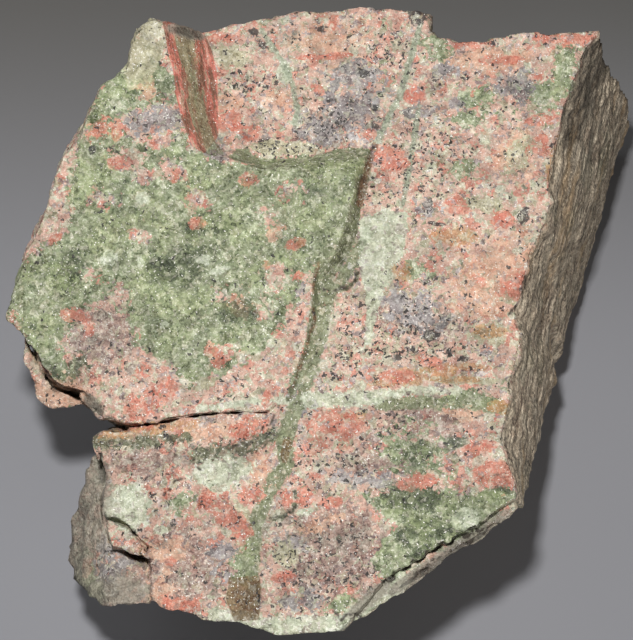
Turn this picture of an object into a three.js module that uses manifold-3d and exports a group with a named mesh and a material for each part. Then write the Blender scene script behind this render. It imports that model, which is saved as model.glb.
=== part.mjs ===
// A hand-sized block of unakite, an epidote granite, broken from a larger boulder.
// It is one solid stone: a broad, tilted fresh face, a raised plate on its left, thin layers that
// stick out under its front edge, a weathered right side and a flat underside that it rests on.
// Sizes are millimetres and +Z is up. The origin is the middle of the underside's bounding box.

import * as THREE from "three";
import { ImprovedNoise } from "three/addons/math/ImprovedNoise.js";
import Module from "manifold-3d";

// The broad face was measured along sight lines from one point in front of and above the stone.
// "Across" is to the right, "up" is up the view, and "near" is towards the viewpoint.
const VIEW_ELEVATION = THREE.MathUtils.degToRad(64);
const VIEW_DISTANCE = 480;
const FACE_CENTRE_HEIGHT = 72;

// How the broad face leans: it recedes up the view and comes nearer to the right.
const FACE_RECEDES_PER_UP = 0.25;
const FACE_NEARS_PER_ACROSS = 0.087;

// The plate on the left stands proud of the broad face, most at its back-left peak. At its front
// edge it is nearly level with the face.
const PLATE_RISE_AT_CENTRE = 2.1;
const PLATE_RISE_PER_ACROSS = -0.062;
const PLATE_RISE_PER_UP = 0.105;
const PLATE_ROOT_DEPTH = 3;

// The broad face breaks off square before the front and left sides undercut, to an uneven depth.
// The weathered right side starts close under its edge.
const COLLAR = { depth: 9, variation: 0.75, spacing: 17, inset: 0.018 };
const RIGHT_SIDE = { firstRimPoint: 12, lastRimPoint: 25, collarDepth: 1.5 };

// Layers that stick out from under the face. Each narrows by "taper" towards a point inside it.
const LEFT_LAYER = { topDepth: 4, thickness: 16, taper: 0.28, towards: [-52, -4] };
const FRONT_RIGHT_LAYER = { topDepth: 2.5, thickness: 12, taper: 0.2, towards: [18, -50] };
const CORNER_BLOCK = { innerDepth: 4, fallPerMm: 1.25, bottomDepth: 38, taper: 0.42, towards: [-42, -50] };

// How open cracks are shaped: shares of the half width at their ends and at their foot, and how far
// the cut starts above the broad face.
const CRACK_END_SHARE = 0.45;
const CRACK_FOOT_SHARE = 0.33;
const CRACK_START_ABOVE = 0.5;

// Surface: the longest edge left in the mesh, and the size and height of the broken relief.
const LONGEST_EDGE = 8;
const LEVEL_COSINE = 0.99999;
const TURN_MARGIN = 0.01;
const BROAD_RELIEF = { spacing: 36, onFace: 0.7, onSides: 3.2 };
const FINE_RELIEF = { spacing: 13, onFace: 0.5, onSides: 1.3 };
const FACE_RELIEF_DEPTHS = [6, 26];
const FLAT_BASE_FADE = 9;
const NOISE_SHIFTS = [11.3, 23.7, 37.9];

const STONE_COLOUR = 0xa99380;
const STONE_ROUGHNESS = 0.86;

// The rim of the broad face, clockwise from its back-left corner, as [across, up]. On the left it
// runs a little inside the plate's edge, which overhangs it.
const RIM = [
  [-41.5, 74.5],
  [-28.5, 72],
  [-14.5, 74.8],
  [-4, 77],
  [11, 77.8],
  [23, 78],
  [27.5, 76.2],
  [28.2, 72.3],
  [30, 71],
  [41, 69.5],
  [48.5, 71.2],
  [68.5, 72],
  [70, 71.8],
  [66.6, 64.5],
  [62, 52.5],
  [58.4, 34.8],
  [58.2, 24.5],
  [53.6, 17.8],
  [51.6, 6.2],
  [49.2, 1.5],
  [51.1, -5.2],
  [48.4, -15],
  [47.6, -21.8],
  [46, -29.8],
  [50, -41.8],
  [49.4, -44.8],
  [41, -51.2],
  [36.6, -53.5],
  [29, -57.2],
  [20, -63],
  [15, -67.5],
  [6, -77.5],
  [-9, -79],
  [-20.5, -75.6],
  [-26, -75.8],
  [-36.6, -72.3],
  [-41.4, -70],
  [-42.1, -60.5],
  [-46.1, -59],
  [-51, -58.2],
  [-52.9, -50.8],
  [-54, -46],
  [-52.6, -40],
  [-55.2, -34.8],
  [-56.6, -30],
  [-53.6, -28],
  [-59, -15],
  [-65, -8],
  [-73, 1],
  [-72, 13],
  [-65.5, 28],
  [-58, 46],
  [-52.5, 58],
  [-45.8, 67],
];

// The sides below the rim: each row is the rim point it hangs from, then x, y and z. Between rows
// the side runs straight, which leaves the flat breaks of a split stone.
const WAIST = [
  [0, -47, 87, 52],
  [3, -6, 91, 56],
  [5, 27, 93, 50],
  [8, 33, 84, 58],
  [10, 52, 88, 50],
  [12, 83, 85, 50],
  [16, 68.5, 30, 45],
  [20, 59, -2, 50],
  [23, 51.5, -28, 57],
  [25, 49.5, -44, 61],
  [26, 37, -43, 40],
  [29, 19, -53, 35],
  [31, 5, -59, 33],
  [33, -18, -58, 30],
  [36, -36, -53, 31],
  [39, -45, -44, 33],
  [42, -48, -32, 36],
  [45, -50, -18, 38],
  [47, -56, -4, 38],
  [49, -62, 16, 40],
  [51, -61, 42, 44],
  [53, -50, 68, 50],
];
const ANKLE = [
  [0, -45, 82, 16],
  [3, -10, 94, 14],
  [5, 30, 88, 12],
  [10, 56, 96, 10],
  [12, 94.4, 96.9, 10],
  [14, 84.8, 67, 10],
  [16, 77, 42.4, 12],
  [17, 72.6, 28.4, 15],
  [18, 68.5, 16.1, 20],
  [19, 63.9, 12.2, 25],
  [20, 64.2, 3.3, 28],
  [22, 58, -12.7, 38],
  [23, 55.6, -25.7, 45],
  [25, 50.3, -42.8, 55],
  [26, 36, -33, 13],
  [30, 12, -45, 10],
  [33, -18, -47, 9],
  [36, -34, -42, 10],
  [40, -45, -30, 11],
  [46, -50, -6, 12],
  [49, -57, 20, 13],
  [52, -52, 62, 14],
];
const FOOT = [
  [0, -38, 78, 0],
  [4, 4, 87, 0],
  [9, 50, 90, 0],
  [12, 90, 92, 0],
  [15, 76, 50, 0],
  [18, 62, 14, 0],
  [22, 50, -12, 0],
  [26, 30, -31, 0],
  [31, 2, -41, 0],
  [36, -30, -38, 0],
  [42, -42, -20, 0],
  [48, -49, 12, 0],
  [52, -46, 58, 0],
];

const FOOT_MIDDLE = new THREE.Vector3(10, 25, 0);

// The raised plate, clockwise from its peak, as [across, up] of its top edge. Where its side faces
// the viewpoint the row also has the [across, up] of the foot of that side.
const PLATE = [
  [-41.9, 75.8],
  [-38.1, 74.5, -28.4, 72],
  [-36.9, 66.2, -26.4, 67],
  [-35.6, 61.8, -25.6, 61.2],
  [-34.9, 55.5, -25.1, 56],
  [-33.6, 50.5, -24.9, 51.2],
  [-31, 43.5, -24.6, 46],
  [-27.9, 41.2, -22.1, 41.8],
  [-22.1, 40.2, -19.6, 42.5],
  [-16.6, 38.8, -15.4, 40.5],
  [-11.6, 37.8, -12.1, 39.5],
  [-4.1, 37.2, -5.4, 40.2],
  [3.4, 38, 3.9, 42.8],
  [9.9, 38.3, 14.4, 43.2],
  [10.2, 34.6, 13.1, 36.5],
  [8.4, 28.8, 11.1, 30],
  [6.6, 22, 10.1, 22],
  [4.9, 17.5, 8.9, 18.5],
  [2.9, 14.2, 5.4, 13],
  [0.1, 14, 2.9, 8.8],
  [-0.9, 9.5, 0.9, 5],
  [-1.6, 5.2, 0.1, 0.5],
  [-0.9, 0, 0.4, -2],
  [-2.9, -8, -1.9, -9],
  [-6.1, -16.8, -5.1, -17.5],
  [-7.4, -19.8, -6.6, -20.5],
  [-11.4, -22.8],
  [-17.6, -22.2],
  [-25.4, -23],
  [-32.4, -23.8],
  [-40.1, -25.5],
  [-44.4, -26.5],
  [-51.9, -25.2],
  [-52.9, -21.5, -54.5, -23.6],
  [-57.1, -18.5, -58, -21],
  [-61.4, -16.8],
  [-65.1, -16.5, -64.4, -15.6],
  [-68.9, -10, -67.6, -9],
  [-72.9, -4.5, -71.2, -3],
  [-75.4, -1.2, -74, 0],
  [-78.4, -0.2, -75.6, 1.6],
  [-77.1, 3.8, -75.4, 4.4],
  [-74.1, 13.8],
  [-67.9, 27.5],
  [-64.1, 40],
  [-59.1, 47.5],
  [-54.1, 58.8],
  [-47.9, 62.2],
  [-46.4, 69],
  [-44.9, 73],
];

// The layer under the plate's front-left edge.
const LEFT_LAYER_OUTLINE = [
  [-66, 12],
  [-50, 10],
  [-45, -20],
  [-52.9, -23.8],
  [-55, -23.3],
  [-58.6, -20.8],
  [-61.4, -22],
  [-67.9, -22.2],
  [-70, -19],
  [-69.6, -15.5],
  [-72, -12.5],
  [-73, -10],
  [-72.5, -3],
];

// The thin layer under the front-right edge.
const FRONT_RIGHT_OUTLINE = [
  [44, -40],
  [50.6, -46.3],
  [40.9, -55.5],
  [37.4, -57],
  [31.6, -60],
  [27.4, -64.2],
  [21.4, -68.2],
  [15.9, -70.8],
  [8, -76],
  [2, -66],
  [24, -50],
];

// The block at the front-left corner, lower than the face and falling away to the left.
const CORNER_OUTLINE = [
  [-46, -30],
  [-36, -56],
  [-38, -69],
  [-41.6, -70.9],
  [-49.1, -71.2],
  [-52.1, -72],
  [-56.9, -68.2],
  [-58.6, -65.8],
  [-62.1, -63.8],
  [-64.2, -57.5],
  [-62.1, -51.2],
  [-59.4, -42],
  [-56.1, -34.5],
];
const CORNER_HINGE_ACROSS = -50;

// Open cracks: half width at the middle, depth below the broad face and [across, up] along each.
const CRACKS = [
  // The seam between the plate and the front of the face.
  {
    halfWidth: 0.24,
    depth: 8,
    line: [
      [-48, -27.2],
      [-44.4, -26.9],
      [-40.1, -26],
      [-32.4, -24.4],
      [-25.4, -23.4],
      [-17.6, -22.7],
      [-11.4, -23],
    ],
  },
  // The seam's open left end, under the plate's corner.
  {
    halfWidth: 1.5,
    depth: 17,
    line: [
      [-60, -25.6],
      [-55, -26.2],
      [-51, -27],
      [-47, -27.3],
    ],
  },
  // The gap between the plate and the layer that sticks out under its left edge.
  {
    halfWidth: 0.8,
    depth: 12,
    line: [
      [-71.6, -6.6],
      [-69.1, -10.4],
      [-65.8, -16.6],
      [-61.6, -18],
      [-57.4, -19.8],
      [-54.6, -22.6],
    ],
  },
  // The gap between the left edge of the face and the corner block.
  {
    halfWidth: 0.6,
    depth: 13,
    line: [
      [-54.6, -33.6],
      [-53.6, -37],
      [-53.2, -41],
      [-54, -46],
      [-53, -51],
      [-51.6, -57],
    ],
  },
  // The top and the foot of the loose flake.
  {
    halfWidth: 0.35,
    depth: 6,
    line: [
      [-55, -50],
      [-50.5, -50.2],
      [-47.4, -51.8],
      [-44.6, -54.8],
      [-42.1, -57.5],
    ],
  },
  {
    halfWidth: 0.5,
    depth: 8,
    line: [
      [-53, -58.4],
      [-49.5, -58],
      [-46.1, -59.1],
      [-42.1, -60.6],
      [-41.6, -71],
    ],
  },
];

const wasm = await Module();
wasm.setup();

const viewRight = new THREE.Vector3(1, 0, 0);
const viewUp = new THREE.Vector3(0, Math.sin(VIEW_ELEVATION), Math.cos(VIEW_ELEVATION));
const viewNear = new THREE.Vector3(0, -Math.cos(VIEW_ELEVATION), Math.sin(VIEW_ELEVATION));
const faceCentre = new THREE.Vector3(0, 0, FACE_CENTRE_HEIGHT);
const noise = new ImprovedNoise();

// The point on the sight line through [across, up], "near" millimetres before the centre's plane.
function sighted(across, up, near) {
  const shrink = (VIEW_DISTANCE - near) / VIEW_DISTANCE;
  return faceCentre
    .clone()
    .addScaledVector(viewRight, across * shrink)
    .addScaledVector(viewUp, up * shrink)
    .addScaledVector(viewNear, near);
}

function faceLevel(across, up) {
  return FACE_NEARS_PER_ACROSS * across - FACE_RECEDES_PER_UP * up;
}

function plateRise(across, up) {
  return PLATE_RISE_AT_CENTRE + PLATE_RISE_PER_ACROSS * across + PLATE_RISE_PER_UP * up;
}

// The outline's points at the broad face's level plus a lift, which may vary with the place.
function levelRing(outline, lift) {
  return outline.map(([across, up]) => sighted(across, up, faceLevel(across, up) + lift(across, up)));
}

// One point for each rim point, straight between the rows on either side of it.
function sideRing(rows) {
  const last = rows.length - 1;
  const ring = [];
  for (let index = 0; index < RIM.length; index += 1) {
    const after = rows.findIndex((row) => row[0] > index);
    const from = rows[after < 0 ? last : after - 1];
    const to = rows[after < 0 ? 0 : after];
    const end = after < 0 ? RIM.length : to[0];
    const share = (index - from[0]) / (end - from[0]);
    ring.push(new THREE.Vector3(...from.slice(1)).lerp(new THREE.Vector3(...to.slice(1)), share));
  }
  return ring;
}

// The triangles that close a ring, as index triples, facing the viewpoint.
function capTriangles(ring) {
  const flat = ring.map((point) => new THREE.Vector2(point.dot(viewRight), point.dot(viewUp)));
  return THREE.ShapeUtils.triangulateShape(flat, []).map(([a, b, c]) =>
    THREE.ShapeUtils.area([flat[a], flat[b], flat[c]]) > 0 ? [a, b, c] : [a, c, b],
  );
}

// The triangles that close a ring to a point near its middle, which comes after its own points.
// Points in a straight line along the ring are all used.
function fanTriangles(ring) {
  return ring.map((point, index) => [index, ring.length, (index + 1) % ring.length]);
}

// A solid through rings of equal length, clockwise as seen from the viewpoint, nearest ring first.
// The last ring is closed flat, or to a middle point where one is given.
function loft(rings, lastMiddle) {
  const count = rings[0].length;
  const points = rings.flat();
  const triangles = capTriangles(rings[0]);
  for (let level = 0; level + 1 < rings.length; level += 1) {
    for (let index = 0; index < count; index += 1) {
      const upper = level * count + index;
      const upperNext = level * count + ((index + 1) % count);
      triangles.push([upper, upperNext, upperNext + count]);
      triangles.push([upper, upperNext + count, upper + count]);
    }
  }
  const lastCap = lastMiddle ? fanTriangles(rings.at(-1)) : capTriangles(rings.at(-1));
  if (lastMiddle) points.push(lastMiddle);
  const lowest = (rings.length - 1) * count;
  for (const [a, b, c] of lastCap) triangles.push([lowest + a, lowest + c, lowest + b]);
  const vertProperties = new Float32Array(points.flatMap((point) => point.toArray()));
  const triVerts = new Uint32Array(triangles.flat());
  return new wasm.Manifold(new wasm.Mesh({ numProp: 3, vertProperties, triVerts }));
}

// The outline drawn in towards a point, by a share of each point's distance to it.
function drawnIn(outline, [across, up], share) {
  return outline.map((point) => [
    THREE.MathUtils.lerp(point[0], across, share),
    THREE.MathUtils.lerp(point[1], up, share),
  ]);
}

// A layer whose top lies "topDepth" below the broad face. Its underside is smaller.
function layer(outline, { topDepth, thickness, taper, towards }) {
  const bottom = drawnIn(outline, towards, taper);
  return loft([levelRing(outline, () => -topDepth), levelRing(bottom, () => -topDepth - thickness)]);
}

// A wedge along a line on the face, widest at its middle and closing with depth.
function crackWedge({ halfWidth, depth, line }) {
  const left = [];
  const right = [];
  line.forEach(([across, up], index) => {
    const before = line[Math.max(index - 1, 0)];
    const after = line[Math.min(index + 1, line.length - 1)];
    const along = new THREE.Vector2(after[0] - before[0], after[1] - before[1]).normalize();
    const swell = Math.sin((Math.PI * (index + 1)) / (line.length + 1));
    const half = halfWidth * THREE.MathUtils.lerp(CRACK_END_SHARE, 1, swell);
    left.push([across - along.y * half, up + along.x * half]);
    right.unshift([across + along.y * half, up - along.x * half]);
  });
  const outline = [...left, ...right];
  const middle = [...line, ...line.toReversed()];
  const foot = outline.map(([across, up], index) => [
    THREE.MathUtils.lerp(middle[index][0], across, CRACK_FOOT_SHARE),
    THREE.MathUtils.lerp(middle[index][1], up, CRACK_FOOT_SHARE),
  ]);
  return loft([levelRing(outline, () => CRACK_START_ABOVE), levelRing(foot, () => -depth)]);
}

// The foot of the square break under each rim point.
function collarRing() {
  return RIM.map(([across, up], index) => {
    const uneven = noise.noise(across / COLLAR.spacing, up / COLLAR.spacing, 0);
    const isRight = index >= RIGHT_SIDE.firstRimPoint && index <= RIGHT_SIDE.lastRimPoint;
    const depth = isRight ? RIGHT_SIDE.collarDepth : COLLAR.depth * (1 + COLLAR.variation * uneven);
    const inset = isRight ? 0 : COLLAR.inset;
    return sighted(across * (1 - inset), up * (1 - inset), faceLevel(across, up) - depth);
  });
}

function mainBlock() {
  const rim = levelRing(RIM, () => 0);
  return loft([rim, collarRing(), sideRing(WAIST), sideRing(ANKLE), sideRing(FOOT)], FOOT_MIDDLE);
}

function plate() {
  const top = levelRing(PLATE, plateRise);
  const root = PLATE.map((row) => (row.length > 2 ? row.slice(2) : row));
  const foot = levelRing(root, () => 0);
  const sunk = levelRing(root, () => -PLATE_ROOT_DEPTH);
  return loft([top, foot, sunk]);
}

function cornerBlock() {
  const { innerDepth, fallPerMm, bottomDepth, taper, towards } = CORNER_BLOCK;
  const topLift = (across) => -innerDepth - fallPerMm * Math.max(CORNER_HINGE_ACROSS - across, 0);
  const bottom = drawnIn(CORNER_OUTLINE, towards, taper);
  return loft([levelRing(CORNER_OUTLINE, topLift), levelRing(bottom, () => -bottomDepth)]);
}

// For each edge of a closed surface, the two triangles on it and which of their sides it is.
function edgesOf(triangles) {
  const edges = new Map();
  triangles.forEach((corners, index) => {
    for (let side = 0; side < 3; side += 1) {
      const ends = [corners[side], corners[(side + 1) % 3]].sort((a, b) => a - b).join();
      if (!edges.has(ends)) edges.set(ends, []);
      edges.get(ends).push({ index, side });
    }
  });
  return edges;
}

// A triangle's corners, starting with the two ends of one of its sides.
function fromSide(corners, side) {
  return [corners[side], corners[(side + 1) % 3], corners[(side + 2) % 3]];
}

// Halves each edge over the limit that is the longest of both its triangles. Says if any was.
function splitLongEdges(points, triangles, limit) {
  const lengthOf = (a, b) => points[a].distanceTo(points[b]);
  const longest = triangles.map(([a, b, c]) => {
    const lengths = [lengthOf(a, b), lengthOf(b, c), lengthOf(c, a)];
    return lengths.indexOf(Math.max(...lengths));
  });
  let found = false;
  for (const pair of edgesOf(triangles).values()) {
    const [start, end] = fromSide(triangles[pair[0].index], pair[0].side);
    const isLongest = pair.every(({ index, side }) => longest[index] === side);
    if (!isLongest || lengthOf(start, end) <= limit) continue;
    const middle = points.length;
    points.push(points[start].clone().lerp(points[end], 0.5));
    for (const { index, side } of pair) {
      const [a, b, c] = fromSide(triangles[index], side);
      triangles[index] = [a, middle, c];
      triangles.push([middle, b, c]);
    }
    found = true;
  }
  return found;
}

// The angle at corner c of a triangle.
function angleAt(points, a, b, c) {
  const toA = points[a].clone().sub(points[c]);
  const toB = points[b].clone().sub(points[c]);
  return toA.angleTo(toB);
}

// Turns the shared edge of two level triangles where that makes both less thin. Says if any was.
function turnThinPairs(points, triangles) {
  const edges = edgesOf(triangles);
  const turned = new Set();
  const normalOf = (corners) => {
    const triangle = new THREE.Triangle(...corners.map((corner) => points[corner]));
    return triangle.getNormal(new THREE.Vector3());
  };
  for (const [first, second] of edges.values()) {
    if (turned.has(first.index) || turned.has(second.index)) continue;
    const [a, b, c] = fromSide(triangles[first.index], first.side);
    const d = fromSide(triangles[second.index], second.side)[2];
    if (angleAt(points, a, b, c) + angleAt(points, a, b, d) <= Math.PI + TURN_MARGIN) continue;
    const level = normalOf([a, b, c]).dot(normalOf([b, a, d])) > LEVEL_COSINE;
    if (!level || edges.has([c, d].sort((x, y) => x - y).join())) continue;
    triangles[first.index] = [a, d, c];
    triangles[second.index] = [d, b, c];
    turned.add(first.index);
    turned.add(second.index);
  }
  return turned.size > 0;
}

// Brings every edge under the limit, with well shaped triangles on the level stretches.
function refine(points, triangles, limit) {
  let busy = true;
  while (busy) {
    while (turnThinPairs(points, triangles));
    busy = splitLongEdges(points, triangles, limit);
  }
}

// Moves a point by smooth noise, more on the old sides than on the fresh face, and not on the
// flat underside.
function weather(point, facePlane) {
  const depth = -facePlane.distanceToPoint(point);
  const side = THREE.MathUtils.smoothstep(depth, ...FACE_RELIEF_DEPTHS);
  const fade = THREE.MathUtils.smoothstep(point.z, 0, FLAT_BASE_FADE);
  const move = new THREE.Vector3();
  for (const { spacing, onFace, onSides } of [BROAD_RELIEF, FINE_RELIEF]) {
    const height = THREE.MathUtils.lerp(onFace, onSides, side) * fade;
    const at = point.clone().divideScalar(spacing);
    move.x += height * noise.noise(at.x + NOISE_SHIFTS[0], at.y, at.z);
    move.y += height * noise.noise(at.x, at.y + NOISE_SHIFTS[1], at.z);
    move.z += height * noise.noise(at.x, at.y, at.z + NOISE_SHIFTS[2]);
  }
  point.add(move);
}

function stoneSolid() {
  const blocks = [
    plate(),
    layer(LEFT_LAYER_OUTLINE, LEFT_LAYER),
    layer(FRONT_RIGHT_OUTLINE, FRONT_RIGHT_LAYER),
    cornerBlock(),
  ];
  const joined = blocks.reduce((stone, block) => stone.add(block), mainBlock());
  return CRACKS.reduce((stone, crack) => stone.subtract(crackWedge(crack)), joined);
}

function stoneGeometry() {
  const { numProp, vertProperties, triVerts } = stoneSolid().getMesh();
  const points = [];
  for (let at = 0; at < vertProperties.length; at += numProp) {
    points.push(new THREE.Vector3().fromArray(vertProperties, at));
  }
  const triangles = [];
  for (let at = 0; at < triVerts.length; at += 3) triangles.push([...triVerts.subarray(at, at + 3)]);
  refine(points, triangles, LONGEST_EDGE);

  const facePlane = new THREE.Plane().setFromCoplanarPoints(
    sighted(0, 0, faceLevel(0, 0)),
    sighted(1, 0, faceLevel(1, 0)),
    sighted(0, 1, faceLevel(0, 1)),
  );
  points.forEach((point) => weather(point, facePlane));

  const geometry = new THREE.BufferGeometry().setFromPoints(points).setIndex(triangles.flat());
  geometry.computeBoundingBox();
  const { min, max } = geometry.boundingBox;
  geometry.translate(-(min.x + max.x) / 2, -(min.y + max.y) / 2, -min.z);
  geometry.computeVertexNormals();
  return geometry;
}

const stone = new THREE.Mesh(
  stoneGeometry(),
  new THREE.MeshStandardMaterial({
    color: STONE_COLOUR,
    roughness: STONE_ROUGHNESS,
    metalness: 0,
    flatShading: true,
  }),
);
stone.name = "unakite_block";

const group = new THREE.Group();
group.add(stone);

export default group;
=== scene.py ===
"""Looks of a hand-sized unakite block: its broken relief, its minerals, a plain floor and light.

The stone is one piece. Its shape comes from the frame's stone, split finely and roughened, and its
minerals are placed on the broad face in millimetres across and up the face, as seen by the camera.
"""

import logging
import math
from dataclasses import dataclass, field
from enum import Enum

import bmesh
import bpy
import numpy as np
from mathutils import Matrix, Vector


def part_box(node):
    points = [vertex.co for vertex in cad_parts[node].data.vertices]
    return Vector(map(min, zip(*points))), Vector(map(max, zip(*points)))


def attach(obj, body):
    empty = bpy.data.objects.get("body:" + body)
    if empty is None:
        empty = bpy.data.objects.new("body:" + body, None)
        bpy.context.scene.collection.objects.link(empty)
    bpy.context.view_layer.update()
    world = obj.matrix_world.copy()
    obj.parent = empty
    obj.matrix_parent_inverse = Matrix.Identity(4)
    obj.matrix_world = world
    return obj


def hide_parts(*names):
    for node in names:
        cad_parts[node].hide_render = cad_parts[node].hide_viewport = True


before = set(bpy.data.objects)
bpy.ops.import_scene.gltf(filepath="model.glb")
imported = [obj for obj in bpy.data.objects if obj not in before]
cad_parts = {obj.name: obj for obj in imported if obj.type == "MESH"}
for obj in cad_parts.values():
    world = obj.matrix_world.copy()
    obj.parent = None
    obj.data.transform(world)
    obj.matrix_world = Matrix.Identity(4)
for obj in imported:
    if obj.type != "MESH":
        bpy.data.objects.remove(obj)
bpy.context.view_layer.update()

STONE_NODE = "unakite_block"
MM = 0.001
TINY = 1e-9
CHART_NAME = "OFBake"
CHART_ANGLE = math.radians(66)
CHART_GAP = 0.002

log = logging.getLogger("unakite")

Pair = tuple[float, float]
# Two limits of a pattern or a distance, then the result at each.
Ramp = tuple[float, float, float, float]

# What a node's input takes: another node's result, a plain number, or a vector or colour.
Socket = bpy.types.NodeSocket
Value = Socket | float
Vectors = Socket | tuple[float, ...]

# A direction, or a place, as three plain numbers.
Way = np.ndarray | tuple[float, ...]
Rows = tuple[tuple[float, ...], ...]


class Mineral(Enum):
    """What a place on the stone is made of, or where shade is painted on it. The values are the names
    of the mesh's attributes.
    """

    EPIDOTE = "epidote"
    SALMON = "salmon"
    CREAM = "cream"
    QUARTZ = "quartz"
    MINT = "mint"
    SAGE = "sage"
    CORAL = "coral"
    OCHRE = "ochre"
    MOSS = "moss"
    DARK = "dark"
    PEPPER = "pepper"
    MAUVE = "mauve"
    RED_WALL = "red_wall"
    WALL_OLIVE = "wall_olive"
    # Olive cliff wall of the plate, darkened with painted shade.
    SHADED_CLIFF = "shaded_cliff"
    # Brown lines, mostly painted shade along the plate's right cliff.
    BROWN_SHADE = "brown_shade"
    VEIN = "vein"
    UMBER = "umber"
    # Painted shade: darkened patches in hollows and creases, and on part of the weathered side.
    PAINTED_SHADE = "painted_shade"
    GREY = "grey"


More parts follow.
